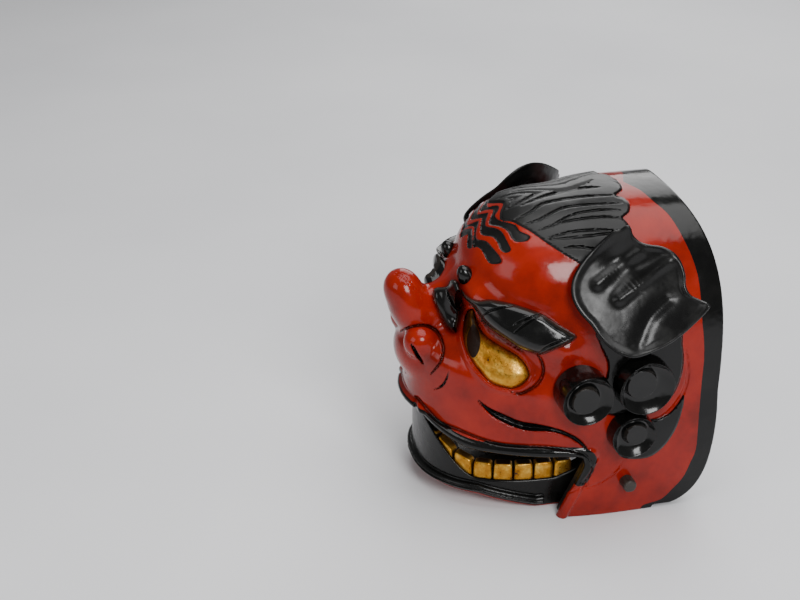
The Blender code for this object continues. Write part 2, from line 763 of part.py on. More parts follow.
    # Shell: carved block, trimmed to its rim and bottom, then the seats.
    wide = HALF_WIDTH + 0.0165
    ahead = max(MUZZLE_REACH - MUZZLE_START_Y, FRONT_REACH - WIDEST_Y) + 0.040
    points, faces = level_mesh(
        shell_field,
        (-wide, -ahead, -0.02),
        (wide, RIM_Y + 0.027, SPRING_Z + CROWN_RISE + 0.03),
        SHELL_CELL,
    )
    shell = add_object("head_shell", points, faces, red)
    trim = prism("side_trim", side_outline(), HALF_WIDTH + 0.042, red)
    boolean(shell, trim, "INTERSECT")
    freeze(shell)
    hide_cutter(trim)
    thinned(shell, 2700)
    for piece in seated:
        solver = "MANIFOLD" if piece in (ear_left, ear_right) else "EXACT"
        boolean(shell, grown_copy(piece, SEAT_GAP), solver=solver)
    boolean(shell, upper_seat)

    # Lower jaw.
    wide = JAW_HALF_WIDTH + 0.0145
    points, faces = level_mesh(
        jaw_field,
        (-wide, JAW_START_Y - JAW_REACH - 0.018, -0.02),
        (wide, PIVOT_Y + ARM_RADIUS + 0.017, JAW_SIDE_Z + JAW_CHIN_RISE + 0.03),
        JAW_CELL,
    )
    jaw = add_object("lower_jaw", points, faces, black)
    thinned(jaw, 900)
    boolean(jaw, lower_seat)
    for peg in pegs:
        boolean(jaw, grown_copy(peg, PEG_RUNNING_GAP))

    for obj in bpy.data.objects:
        obj.data.transform(Matrix.Translation((0, CENTRE_SHIFT_Y, 0)))
    for obj in (jaw, lower):
        obj.data.transform(Matrix.Translation((0, -PIVOT_Y - CENTRE_SHIFT_Y, -PIVOT_Z)))
        obj.location = (0, PIVOT_Y + CENTRE_SHIFT_Y, PIVOT_Z)


main()
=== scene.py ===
import math

import bmesh
import bpy
import numpy as np
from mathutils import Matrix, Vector


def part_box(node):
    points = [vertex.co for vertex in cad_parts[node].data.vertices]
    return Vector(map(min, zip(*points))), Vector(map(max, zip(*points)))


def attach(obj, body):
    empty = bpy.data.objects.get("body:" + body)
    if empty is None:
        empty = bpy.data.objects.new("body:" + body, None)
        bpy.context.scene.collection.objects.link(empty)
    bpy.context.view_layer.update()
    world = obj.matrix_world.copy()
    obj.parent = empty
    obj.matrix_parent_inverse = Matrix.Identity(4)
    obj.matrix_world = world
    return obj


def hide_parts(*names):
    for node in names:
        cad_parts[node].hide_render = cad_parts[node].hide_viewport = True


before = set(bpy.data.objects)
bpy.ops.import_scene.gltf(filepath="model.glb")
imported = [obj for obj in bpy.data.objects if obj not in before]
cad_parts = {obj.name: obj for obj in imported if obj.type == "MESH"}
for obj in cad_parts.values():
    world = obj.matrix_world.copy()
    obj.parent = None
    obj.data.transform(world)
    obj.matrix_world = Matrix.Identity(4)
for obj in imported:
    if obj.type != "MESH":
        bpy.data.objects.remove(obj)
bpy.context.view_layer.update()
print("frame loaded")

# All shapes are worked out in the carver's frame, whose middle sits this far in front of the box's.
shiftY = 0.03205

photoView = {
    "azimuth": 77.0,  # degrees round from the nose towards the left ear
    "down": 26.5,  # degrees
    "focal": 1300.0,  # pixels of an 800 x 600 picture
    "width": 800,
    "height": 600,
    "place": (1.381, -0.521, 0.958),
    "sensor": 36.0,
    "pixel": 0.00125,  # metres that a pixel spans on the head
}


def cameraAxes():
    turn, down = math.radians(photoView["azimuth"]), math.radians(photoView["down"])
    right = np.array([math.cos(turn), math.sin(turn), 0.0])
    back = np.array(
        [math.sin(turn) * math.cos(down), -math.cos(turn) * math.cos(down), math.sin(down)]
    )
    return right, np.cross(back, right), back


camRight, camUp, camBack = cameraAxes()
camPlace = np.array(photoView["place"])


def toPhoto(points):
    # where points of the left half show in the picture, in pixels
    away = points - camPlace
    depth = -(away @ camBack)
    u = photoView["width"] / 2 + photoView["focal"] * (away @ camRight) / depth
    v = photoView["height"] / 2 - photoView["focal"] * (away @ camUp) / depth
    return u, v


def fromPhoto(spots, middle, normal):
    # where the sight lines of some pixels meet a plane
    spots = np.array(spots, float)
    ray = (
        ((spots[:, 0] - photoView["width"] / 2) / photoView["focal"])[:, None] * camRight
        - ((spots[:, 1] - photoView["height"] / 2) / photoView["focal"])[:, None] * camUp
        - camBack
    )
    reach = ((middle - camPlace) @ normal) / (ray @ normal)
    return camPlace + ray * reach[:, None]


# Soft joins between solids, as distance fields in metres, negative inside


def ellipsoid(points, centre, radii, tilt=0.0):
    local = points - np.array(centre)
    sine, cosine = math.sin(tilt), math.cos(tilt)
    y = cosine * local[:, 1] + sine * local[:, 2]
    z = -sine * local[:, 1] + cosine * local[:, 2]
    local = np.stack([local[:, 0], y, z], 1)
    radii = np.array(radii)
    first = np.sqrt(((local / radii) ** 2).sum(1)) + 1e-9
    second = np.sqrt(((local / radii**2) ** 2).sum(1)) + 1e-9
    return first * (first - 1) / second


def rod(points, start, end, startRadius, endRadius):
    start, end = np.array(start), np.array(end)
    along = end - start
    share = np.clip(((points - start) @ along) / (along @ along), 0, 1)
    away = points - start - share[:, None] * along
    return np.sqrt((away**2).sum(1)) - (startRadius + (endRadius - startRadius) * share)


def blend(first, second, width):
    share = np.clip(0.5 + 0.5 * (second - first) / width, 0, 1)
    return second + (first - second) * share - width * share * (1 - share)


def keep(first, second, width):
    return -blend(-first, -second, width)


def mirrored(points):
    folded = points.copy()
    folded[:, 0] = np.abs(folded[:, 0])
    return folded


def smoothStep(values):
    share = np.clip(values, 0, 1)
    return share * share * (3 - 2 * share)


headForm = {
    "halfWidth": 0.148,
    "frontReach": 0.203,
    "crownRise": 0.226,
    "widestY": 0.06,
    "springZ": 0.155,
    "shellWall": 0.016,
    "cheekWall": 0.024,
    "bottomTuck": 0.075,
    "tuckHeight": 0.12,
    "crownDrop": 0.07,  # the crown falls this much for each metre towards the nose
    "crownDropRun": 0.3,
    "planPower": 2.3,  # how square the head is from above: 2 is an ellipse
    "crownPower": 2.5,
    "muzzleHalfWidth": 0.142,
    "muzzleStartY": 0.030,
    "muzzleReach": 0.226,
    "muzzleRise": 0.066,
    "muzzleTopZ": 0.19,
    "muzzleSlope": 0.30,
    "muzzleSlopeY": -0.19,
    "muzzleSlopeRun": 0.25,
    "muzzlePlanPower": 2.1,
    "muzzleTopPower": 2.4,
    "lipSideZ": 0.097,
    "lipFrontRise": 0.026,
    "lipRiseY": -0.125,
    "lipRiseRun": 0.060,
    "lipBand": 0.0085,
    "lipBandCorner": 0.042,
    "lipBandLowest": 0.050,
    "mouthRearY": -0.030,
    "mouthRearLean": 0.37,
    "mouthCorner": 0.024,
    "flareRadii": (0.040, 0.0255, 0.030),
    "flareCentre": (0.0, -0.183, 0.186),
    "noseRadii": (0.033, 0.026, 0.046),
    "noseCentre": (0.0, -0.190, 0.244),
    "noseTilt": 0.36,
    "tipRadii": (0.0215, 0.0205, 0.0205),
    "tipCentre": (0.0, -0.2005, 0.270),
    "wingRadii": (0.019, 0.020, 0.020),
    "wingCentre": (0.036, -0.186, 0.211),
    "palateDrop": 0.012,
    "slotClearance": 0.0025,  # between the jaw's arms and the cheeks
    "slotTop": 0.082,
    "slotMiddleY": 0.030,
    "slotHalfLength": 0.060,
    "box": ((-0.165, -0.246, -0.012), (0.165, 0.172, 0.410)),
    "cell": 0.0022,
    # the forehead's centre and radii
    "forehead": ((0, -0.042, 0.282), (0.106, 0.091, 0.090)),
    # rods of the brow ridge and of the nose's bridge: both ends and their radii
    "ridge": (((0.022, -0.126, 0.276), (0.06, -0.120, 0.272), 0.012, 0.014),
              ((0.06, -0.120, 0.272), (0.10, -0.086, 0.250), 0.014, 0.013),
              ((0.10, -0.086, 0.250), (0.128, -0.035, 0.230), 0.013, 0.008)),
    "bridge": ((0, -0.13, 0.262), (0, -0.165, 0.240), 0.018, 0.026),
    "join": {"forehead": 0.02, "muzzle": 0.028, "ridge": 0.020, "bridge": 0.020, "tip": 0.010,
             "flare": 0.012, "nose": 0.010, "wing": 0.006},
}


def hood(points, inset=0.0):
    form = headForm
    x, y, z = points.T
    front = np.abs(np.minimum(y - form["widestY"], 0)) / (form["frontReach"] - inset)
    drop = form["crownDrop"] * np.clip(form["widestY"] - y, 0, form["crownDropRun"])
    rise = np.maximum(z + drop - form["springZ"], 0) / (form["crownRise"] - inset)
    tuck = 1 - form["bottomTuck"] * np.clip((form["tuckHeight"] - z) / form["tuckHeight"], 0, 1.5) ** 2
    side = np.abs(x) / ((form["halfWidth"] - inset) * tuck)
    plan = (side ** form["planPower"] + front ** form["planPower"]) ** (1 / form["planPower"])
    power = form["crownPower"]
    return ((plan**power + rise**power) ** (1 / power) - 1) * 0.15


def muzzle(points, inset=0.0):
    form = headForm
    x, y, z = points.T
    front = np.abs(np.minimum(y - form["muzzleStartY"], 0)) / (form["muzzleReach"] - inset)
    side = np.abs(x) / (form["muzzleHalfWidth"] - inset)
    slope = form["muzzleSlope"] * np.clip(y - form["muzzleSlopeY"], 0, form["muzzleSlopeRun"])
    top = z - form["muzzleTopZ"] + slope
    rise = np.maximum(top, 0) / (form["muzzleRise"] - 0.5 * inset)
    power = form["muzzlePlanPower"]
    plan = (side**power + front**power) ** (1 / power)
    power = form["muzzleTopPower"]
    return ((plan**power + rise**power) ** (1 / power) - 1) * 0.12


def lipHeight(y):
    form = headForm
    climb = np.clip((form["lipRiseY"] - y) / form["lipRiseRun"], 0, 1) ** 2.2
    return form["lipSideZ"] + form["lipFrontRise"] * climb


def mouthVoid(points, margin=0.0, corner=None):
    y, z = points[:, 1], points[:, 2]
    form = headForm
    rear = y - form["mouthRearY"] - form["mouthRearLean"] * z
    return keep(z - lipHeight(y) - margin, rear - margin, corner or form["mouthCorner"])


def plainFace(p):
    # the head's outside before any carving
    form, join = headForm, headForm["join"]
    face = hood(p)
    face = blend(face, ellipsoid(p, *form["forehead"]), join["forehead"])
    face = blend(face, muzzle(p), join["muzzle"])
    ridge = np.min([rod(p, *row) for row in form["ridge"]], 0)
    face = blend(face, ridge, join["ridge"])
    face = blend(face, rod(p, *form["bridge"]), join["bridge"])
    nose = ellipsoid(p, form["noseCentre"], form["noseRadii"], form["noseTilt"])
    nose = blend(nose, ellipsoid(p, form["tipCentre"], form["tipRadii"]), join["tip"])
    face = blend(face, ellipsoid(p, form["flareCentre"], form["flareRadii"]), join["flare"])
    face = blend(face, nose, join["nose"])
    return blend(face, ellipsoid(p, form["wingCentre"], form["wingRadii"]), join["wing"])


# The carver's drawing: outlines and cuts of the left side as they show in the picture, in pixels.
# They are laid on the head along the sight lines and mirrored to the right side.
sheet = {"corner": (380, 155), "size": (350, 362), "perPixel": 2}
sheetU, sheetV = np.meshgrid(
    sheet["corner"][0] + np.arange(sheet["size"][0] * sheet["perPixel"]) / sheet["perPixel"],
    sheet["corner"][1] + np.arange(sheet["size"][1] * sheet["perPixel"]) / sheet["perPixel"],
)


def smoothLine(spots, closed=False, steps=6):
    # a soft curve through a few spots
    spots = np.array(spots, float)
    count = len(spots)
    rows = []
    for k in range(count if closed else count - 1):
        if closed:
            a, b, c, d = (spots[(k + i) % count] for i in (-1, 0, 1, 2))
        else:
            a, b, c, d = (spots[min(max(k + i, 0), count - 1)] for i in (-1, 0, 1, 2))
        for step in range(steps):
            t = step / steps
            rows.append(
                0.5 * (2 * b + (c - a) * t + (2 * a - 5 * b + 4 * c - d) * t * t
                       + (3 * b - a - 3 * c + d) * t**3)
            )
    if not closed:
        rows.append(spots[-1])
    return np.array(rows)


def window(line, margin):
    low = (line.min(0) - margin - sheet["corner"]) * sheet["perPixel"]
    high = (line.max(0) + margin - sheet["corner"]) * sheet["perPixel"]
    low, high = np.maximum(low, 0).astype(int), np.maximum(high, 1).astype(int)
    return (slice(low[1], high[1] + 1), slice(low[0], high[0] + 1))


def toSegment(u, v, a, b):
    # how far along a segment each pixel lies, from 0 to 1, and its squared distance to it
    along = b - a
    share = np.clip(((u - a[0]) * along[0] + (v - a[1]) * along[1]) / (along @ along + 1e-9), 0, 1)
    return share, (u - a[0] - share * along[0]) ** 2 + (v - a[1] - share * along[1]) ** 2


def areaMap(spots, margin=14.0):
    # signed distance in pixels to an outline, negative inside
    line = smoothLine(spots, True)
    found = np.full(sheetU.shape, margin)
    area = window(line, margin)
    u, v = sheetU[area], sheetV[area]
    nearest = np.full(u.shape, 1e9)
    inside = np.zeros(u.shape, bool)
    for a, b in zip(line, np.roll(line, -1, 0)):
        nearest = np.minimum(nearest, toSegment(u, v, a, b)[1])
        if a[1] != b[1]:
            crosses = (a[1] > v) != (b[1] > v)
            inside ^= crosses & (u < a[0] + (v - a[1]) * (b[0] - a[0]) / (b[1] - a[1]))
    found[area] = np.minimum(np.where(inside, -1, 1) * np.sqrt(nearest), margin)
    return found


def cutMap(spots, halfWidth, startShare=0.0, endShare=0.0, margin=10.0):
    # signed distance to a stroke that tapers towards its ends
    line = smoothLine(spots)
    found = np.full(sheetU.shape, margin)
    area = window(line, margin)
    u, v = sheetU[area], sheetV[area]
    nearest = np.full(u.shape, margin)
    count = len(line) - 1
    for k in range(count):
        share, squared = toSegment(u, v, line[k], line[k + 1])
        place = (k + share) / count
        swell = np.sqrt(np.clip(np.sin(math.pi * np.clip(place, 0, 1)), 0, 1))
        swell = np.maximum(swell, np.where(place < 0.5, startShare, endShare))
        nearest = np.minimum(nearest, np.sqrt(squared) - halfWidth * swell)
    found[area] = nearest
    return found


def onSheet(chart, u, v):
    # a chart's value at some pixels, softly between its grid points
    x = np.clip((u - sheet["corner"][0]) * sheet["perPixel"], 0, chart.shape[1] - 1.001)
    y = np.clip((v - sheet["corner"][1]) * sheet["perPixel"], 0, chart.shape[0] - 1.001)
    left, top = x.astype(int), y.astype(int)
    x, y = x - left, y - top
    upper = chart[top, left] * (1 - x) + chart[top, left + 1] * x
    lower = chart[top + 1, left] * (1 - x) + chart[top + 1, left + 1] * x
    return upper * (1 - y) + lower * y


drawing = {
    "hair": [(509, 190), (503, 205), (500, 213), (501, 220), (512, 222), (520, 226), (531, 232),
             (545, 242), (560, 252), (575, 261), (590, 268), (612, 262), (626, 248), (628, 234),
             (629, 226), (626, 221), (623, 217.5), (629, 212), (629.5, 204), (623, 197.5),
             (616, 195), (622, 189.5), (620, 183), (612, 179), (604, 177), (598, 168), (560, 160)],
    "chevrons": [
        [(496, 198), (499, 208), (495, 216), (501, 221), (515, 225), (520, 231), (530, 236),
         (527, 241), (517, 242), (512, 239), (507, 231), (500, 227), (490, 225), (489, 221),
         (493, 211), (492, 202)],
        [(487, 200), (489, 210), (486, 220), (486, 226), (495, 228), (502, 232), (507, 241),
         (511, 250), (505, 253), (500, 249), (497, 242), (492, 237), (482, 235), (480, 229),
         (482, 217), (482, 206)],
        [(478, 207), (479, 220), (476, 232), (477, 239), (486, 241), (492, 247), (500, 257),
         (501, 263), (491, 264), (486, 259), (482, 251), (477, 247), (473, 247), (474, 232),
         (474, 218)],
        [(471, 216), (472, 232), (472, 247), (467, 247), (468, 232), (468, 222)],
    ],
    "combs": [
        [(509, 202), (524, 193), (547, 183), (567, 177)],
        [(505, 210), (522, 201), (545, 190), (575, 181), (599, 177)],
        [(512, 221), (530, 212), (545, 203), (580, 197), (615, 195)],
        [(522, 225), (540, 219), (563, 208), (590, 204.5), (623, 203)],
        [(537, 231), (560, 223), (580, 219), (602, 217), (624, 218)],
        [(546, 239), (570, 232), (597, 230), (622, 231)],
        [(546, 240), (580, 237), (610, 233), (624, 232)],
        [(563, 248), (580, 247), (600, 250)],
        [(520, 206), (545, 196), (575, 189), (600, 187)],
        [(552, 225), (575, 214), (600, 210), (620, 210)],
    ],
    "cheekGroove": [(478, 400), (488, 407), (503, 414), (520, 421), (537, 424), (551, 427),
                    (564, 431), (579, 439), (588, 450), (578, 443), (566, 436), (550, 431.5),
                    (531, 431), (517, 428), (503, 422), (490, 414)],
    "crescent": [(433, 389.5), (440, 386), (445, 380), (449, 371), (447, 380), (442, 387)],
    "wingGroove": [(401, 331), (410, 327), (424, 325.5), (435, 330), (441, 339), (443.5, 350),
                   (440.5, 362), (431, 374)],
    "nostril": [(410, 343), (414, 346), (419, 354), (424, 364), (420, 361), (414, 353)],
    "noseCrease": [[(393, 273), (403, 279), (412, 287), (421, 297)],
                   [(396, 272), (407, 278), (415, 287), (423, 297)]],
    "lidGroove": [(536, 352), (542, 362), (543, 373), (538, 383), (529, 390), (519, 393.5), (510, 391)],
    "underEye": [(466, 352), (472, 364), (482, 376), (494, 386), (510, 391)],
    "eye": [(473, 309), (467, 312), (464, 322), (463, 334), (465, 346), (470, 358), (479, 371),
            (491, 383), (505, 388), (514, 388.5), (523, 384), (529, 376), (527, 367), (520, 358),
            (511, 352), (497, 344), (486, 336), (480, 328), (476, 317)],
    "pupil": [(473.5, 324), (478.5, 331), (480.5, 342), (478, 353), (473, 358), (468.5, 352),
              (466.5, 341), (469, 330)],
    "brow": [(461, 289), (468, 296), (478, 300), (490, 299), (502, 301), (515, 304), (530, 309),
             (545, 315), (560, 325), (570, 331), (577.5, 337), (569, 344), (556, 350), (541, 355),
             (530, 353), (518, 348), (508, 341), (497, 334), (486, 325), (479, 316), (472, 306),
             (464, 298)],
    "browCuts": [
        [(480, 318), (490, 311), (505, 307), (517, 305)],
        [(513, 325), (524, 320), (541, 313.5)],
        [(514, 333), (525, 325), (541, 314.5)],
        [(539, 353), (551, 345), (571, 338)],
        [(540, 354), (557, 349), (572, 339.5)],
    ],
    "bridgeLeaf": [(433, 290), (437, 287), (446, 286), (450, 280), (456, 280), (460, 288),
                   (461, 300), (460, 313), (458, 325), (456, 333), (449, 329), (442, 319),
                   (436, 306), (433, 297)],
    "leafCut": [(446, 287), (449, 297), (454, 306), (460, 313)],
    "rimBand": [(560, 157), (604, 171), (622, 181), (640, 190), (653, 201), (667, 213), (677, 227),
                (684, 240), (692, 257), (698, 277), (701, 300), (702.5, 323), (704, 341), (704, 360),
                (701.5, 384), (698.5, 420), (696, 448), (690, 463), (683, 477), (673, 488),
                (661, 499), (640, 509), (660, 535), (760, 500), (760, 250), (660, 150)],
    "curlField": [(600, 330), (660, 325), (681, 330), (683, 345), (684, 362), (681, 378),
                  (674, 394), (661, 406), (650, 412), (640, 415.5), (626, 414), (614, 416),
                  (604, 412), (600, 400), (604, 385), (608, 365), (600, 345)],
    "redCrescent": [(686, 350), (688, 372), (684, 390), (674, 406), (661, 417), (648, 420)],
    "lowerLobe": [(640, 418), (655, 419), (668, 414), (678, 403), (684, 394), (683, 407),
                  (677, 426), (669, 440), (660, 450), (649, 457), (634, 459), (620, 456),
                  (612, 440), (618, 425)],
    "cheekStep": [(577, 491), (597, 484), (611, 476), (620, 468), (622, 458)],
    "lip": [(428, 411), (440, 422), (460, 430), (480, 438), (500, 443.5), (520, 445.5),
               (540, 446), (560, 448), (573, 450.5), (584, 454), (591, 461), (593, 468),
               (590, 475), (583, 482), (580, 488), (480, 520), (430, 470), (415, 400)],
}

# Lines cut with one stroke of the gouge: half its width in pixels, and how much of it is left at each end
strokes = {
    "combs": (1.5,), "wingGroove": (1.7, 0.3, 0.2), "noseCrease": (0.8,), "lidGroove": (2.0, 0.1, 0.1),
    "underEye": (1.0, 0.1, 0.1), "browCuts": (1.2,), "leafCut": (1.1,), "redCrescent": (2.2, 0.1, 0.1),
    "cheekStep": (1.0, 0.1, 0.3),
}
margins = {"brow": 20.0, "lip": 20.0}  # pixels beyond which an outline isn't followed

print("drawing the carved lines")
charts = {}
for name, spots in drawing.items():
    lines = spots if isinstance(spots[0], list) else [spots]
    if name in strokes:
        charts[name] = np.min([cutMap(line, *strokes[name]) for line in lines], 0)
    else:
        charts[name] = np.min([areaMap(line, margins.get(name, 14.0)) for line in lines], 0)

# How far each line stands out of the plain face, in metres, then in pixels where its slope starts
# and how wide the slope is
carving = {
    "hair": (0.0020, 0.0, 2.2),
    "chevrons": (-0.0018, 0.3, 1.5),
    "crescent": (-0.0030, 0.5, 2.0),
    "wingGroove": (-0.0032, 0.8, 2.6),
    "nostril": (-0.0070, 0.3, 2.2),
    "noseCrease": (-0.0009, 0.3, 1.1),
    "lidGroove": (-0.0038, 0.8, 2.6),
    "underEye": (-0.0014, 0.5, 1.6),
    "eye": (-0.0050, 0.4, 1.5),
    "curlField": (0.0045, 0.0, 1.6),
    "redCrescent": (-0.0018, 0.8, 2.4),
    "lowerLobe": (0.0012, 0.0, 1.5),
    "cheekStep": (-0.0014, 0.6, 2.0),
    "lip": (0.0016, -1.0, 2.0),
}
carvedExtras = {
    "combDepth": 0.0022, "combStart": 0.4, "combSlope": 1.9, "combFade": 1.5,
    "cheekDepth": 0.0060, "cheekStart": 0.5, "cheekSlope": 4.0, "cheekPower": 0.8,
    "lidRise": 0.0022, "lidPlace": 3.2, "lidWidth": 3.0, "lidFade": 2.0,
    "lipLineDepth": 0.0016, "lipLineWidth": 1.1,
}


def reliefChart():
    # how far the carving stands out of the plain head, in metres
    extra = carvedExtras
    chart = sum(rise * smoothStep((start - charts[name]) / slope)
                for name, (rise, start, slope) in carving.items())
    combs = smoothStep((extra["combStart"] - charts["combs"]) / extra["combSlope"])
    chart -= extra["combDepth"] * combs * smoothStep(-charts["hair"] / extra["combFade"])
    cheek = np.clip((extra["cheekStart"] - charts["cheekGroove"]) / extra["cheekSlope"], 0, 1)
    chart -= extra["cheekDepth"] * cheek ** extra["cheekPower"]
    lid = np.exp(-(((charts["eye"] - extra["lidPlace"]) / extra["lidWidth"]) ** 2))
    chart += extra["lidRise"] * lid * smoothStep(charts["brow"] / extra["lidFade"])
    chart -= extra["lipLineDepth"] * np.exp(-((charts["lip"] / extra["lipLineWidth"]) ** 2))
    return chart


relief = reliefChart()


def carvedFace(p):
    u, v = toPhoto(p)
    return plainFace(p) - onSheet(relief, u, v)


rimForm = {
    "rearY": 0.158, "upperStart": 0.205, "upperRun": 0.200, "crownY": 0.055, "upperPower": 0.3335,
    "lowerStart": 0.150, "footY": 0.060, "lowerPower": 0.28,
}


def rimSide(points):
    # the rear rim and the flat bottom as seen from the side, positive outside
    form = rimForm
    y, z = points[:, 1], points[:, 2]
    up = np.clip((z - form["upperStart"]) / form["upperRun"], 0, 1) ** 1.5
    upper = form["crownY"] + (form["rearY"] - form["crownY"]) * np.clip(1 - up**2, 0, 1) ** form["upperPower"]
    down = np.clip(1 - z / form["lowerStart"], 0, 1) ** (1 / 0.56)
    lower = form["footY"] + (form["rearY"] - form["footY"]) * np.clip(1 - down**2, 0, 1) ** form["lowerPower"]
    edge = np.where(z < form["lowerStart"], lower, form["rearY"])
    return y - np.where(z > form["upperStart"], upper, edge)


def shellField(points):
    form = headForm
    p = mirrored(points)
    mouth = mouthVoid(p)
    outside = carvedFace(p)
    body = keep(outside, -mouth, 0.006)
    lip = np.hypot(outside + 0.003, mouth - 0.001) - 0.0065
    body = blend(body, np.maximum(lip, p[:, 1] - 0.03), 0.002)
    palate = p.copy()
    palate[:, 2] += form["palateDrop"]
    hollow = blend(hood(p, form["shellWall"]), muzzle(palate, form["cheekWall"]), 0.02)
    slot = np.maximum(p[:, 0] - jawForm["halfWidth"] - form["slotClearance"], p[:, 2] - form["slotTop"])
    slot = np.maximum(slot, np.abs(p[:, 1] - form["slotMiddleY"]) - form["slotHalfLength"])
    hollow = blend(hollow, slot, 0.004)
    solid = keep(body, -hollow, 0.004)
    solid = keep(solid, rimSide(p) * 0.9, 0.002)
    return keep(solid, -p[:, 2], 0.0015)


jawForm = {
    "pivotY": 0.047,
    "pivotZ": 0.050,
    "halfWidth": 0.115,
    "reach": 0.152,
    "startY": -0.03,
    "planPower": 2.3,
    "wall": 0.020,
    "floor": 0.014,
    "sideZ": 0.042,
    "chinRise": 0.070,
    "chinRun": 0.058,
    "slope": 0.25,
    "slopeY": -0.055,
    "slopeRun": 0.070,
    "floorGap": 0.0005,
    "beadEndY": -0.046,
    "armRadius": 0.026,
    "linkStart": (0, -0.01, 0.026),
    "linkRadii": (0.022, 0.022),
    "box": ((-0.128, -0.198, -0.006), (0.128, 0.082, 0.132)),
    "redUnder": 0.0035,
    "scribedLines": (0.0120, 0.0185),
    "cell": 0.0018,
}


def jawPlan(points, inset=0.0):
    form = jawForm
    x, y, z = points.T
    front = np.abs(np.minimum(y - form["startY"], 0)) / (form["reach"] - inset)
    side = np.abs(x) / (form["halfWidth"] - inset)
    power = form["planPower"]
    return ((side**power + front**power) ** (1 / power) - 1) * 0.12


def jawTop(y):
    form = jawForm
    front = form["reach"] - form["startY"] - form["chinRun"]
    return form["sideZ"] + form["chinRise"] * np.clip((-y - front) / form["chinRun"], 0, 1) ** 1.75


def jawUnder(y):
    form = jawForm
    return form["slope"] * np.clip(form["slopeY"] - y, 0, form["slopeRun"]) + form["floorGap"]


def jawField(points):
    form = jawForm
    p = mirrored(points)
    y, z = p[:, 1], p[:, 2]
    wall = np.maximum(z - jawTop(y), y - 0.015)
    arm = np.hypot(y - form["pivotY"], z - form["pivotZ"]) - form["armRadius"]
    flat = np.stack([0 * y, y, z], 1)
    link = rod(flat, form["linkStart"], (0, form["pivotY"], form["pivotZ"]), *form["linkRadii"])
    side = blend(wall, np.minimum(arm, link), 0.008)
    plan = jawPlan(p)
    solid = keep(keep(plan, side, 0.004), jawUnder(y) - z, 0.006)
    rim = np.hypot(plan, z - jawUnder(y) - 0.012) - 0.0055
    solid = blend(solid, np.maximum(rim, y - form["beadEndY"]), 0.002)
    for level in form["scribedLines"]:  # along the foot of the board
        line = np.hypot(plan - 0.0045 + 0.6 * (level - 0.012), z - jawUnder(y) - level) - 0.0013
        solid = keep(solid, -np.maximum(line, y - form["beadEndY"]), 0.0012)
    inside = np.maximum(jawPlan(p, form["wall"]), jawUnder(y) + form["floor"] - z)
    return keep(solid, -inside, 0.004)


def levelMesh(field, low, high, cell):
    # the surface where a field is nought, as quads, looked for only where it can be
    low = np.array(low, float)
    size = np.ceil((np.array(high) - low) / cell).astype(int) + 1
    block = 8
    blocks = (size + block - 1) // block
    corner = np.stack(np.meshgrid(*[np.arange(n) for n in blocks], indexing="ij"), -1)
    rough = field(low + (corner.reshape(-1, 3) + 0.5) * block * cell).reshape(blocks)
    values = rough
    for axis in range(3):
        values = np.repeat(values, block, axis)
    values = values[: size[0], : size[1], : size[2]].astype(np.float32)
    near = np.abs(values) < 9.5 * cell + 0.006
    spots = np.argwhere(near)
    found = np.empty(len(spots), np.float32)
    for start in range(0, len(spots), 300000):
        part = slice(start, start + 300000)
        found[part] = field(low + spots[part] * cell)
    values[near] = found
    inside = values < 0
    cells = [inside[i : size[0] - 1 + i, j : size[1] - 1 + j, k : size[2] - 1 + k]
             for i in (0, 1) for j in (0, 1) for k in (0, 1)]
    count = sum(c.astype(np.int8) for c in cells)
    active = (count > 0) & (count < 8)
    index = np.argwhere(active)
    total = np.zeros((len(index), 3))
    number = np.zeros(len(index))
    for axis in range(3):
        for first in (0, 1):
            for second in (0, 1):
                a = index + np.insert([first, second], axis, 0)
                b = index + np.insert([first, second], axis, 1)
                va, vb = values[tuple(a.T)], values[tuple(b.T)]
                crossing = (va < 0) != (vb < 0)
                share = np.where(crossing, va / np.where(crossing, va - vb, 1), 0)
                point = a.astype(float)
                point[:, axis] += share
                total += point * crossing[:, None]
                number += crossing
    points = low + total / number[:, None] * cell
    place = np.full(active.shape, -1, np.int32)
    place[active] = np.arange(len(index))
    quads = []
    for axis in range(3):
        a = tuple(slice(0, -1) if i == axis else slice(1, -1) for i in range(3))
        b = tuple(slice(1, None) if i == axis else slice(1, -1) for i in range(3))
        crossing = np.argwhere(inside[a] != inside[b]) + [0 if i == axis else 1 for i in range(3)]
        one, two = [i for i in range(3) if i != axis]
        corners = []
        for step in ((1, 1), (0, 1), (0, 0), (1, 0)):
            at = crossing.copy()
            at[:, one] -= step[0]
            at[:, two] -= step[1]
            corners.append(place[tuple(at.T)])
        quad = np.stack(corners, 1)
        outward = inside[tuple(crossing.T)]
        if axis == 1:
            outward = ~outward
        quads.append(np.where(outward[:, None], quad, quad[:, ::-1]))
    quads = np.concatenate(quads)
    quads = quads[(quads >= 0).all(1)]
    for _ in range(2):
        slope = slopes(field, points)
        move = field(points) / np.maximum((slope**2).sum(1), 0.1)
        points = points - np.clip(move, -0.5 * cell, 0.5 * cell)[:, None] * slope
    return points, quads, slopes(field, points)


def slopes(field, points, step=0.0005):
    return np.stack([field(points + e) - field(points - e) for e in np.eye(3) * step], 1) / (2 * step)


def hollowness(field, points, normals, reach=0.004):
    # how deep in a crease a point lies: above nought in a groove, below on an edge
    normals = normals / (np.linalg.norm(normals, axis=1)[:, None] + 1e-9)
    out = field(points + normals * reach)
    return np.clip(1 - out / reach, -1, 1)


# Colours and materials


def linear(hexColour):
    parts = [int(hexColour[i : i + 2], 16) / 255 for i in (1, 3, 5)]
    return tuple(c / 12.92 if c <= 0.04045 else ((c + 0.055) / 1.055) ** 2.4 for c in parts) + (1.0,)


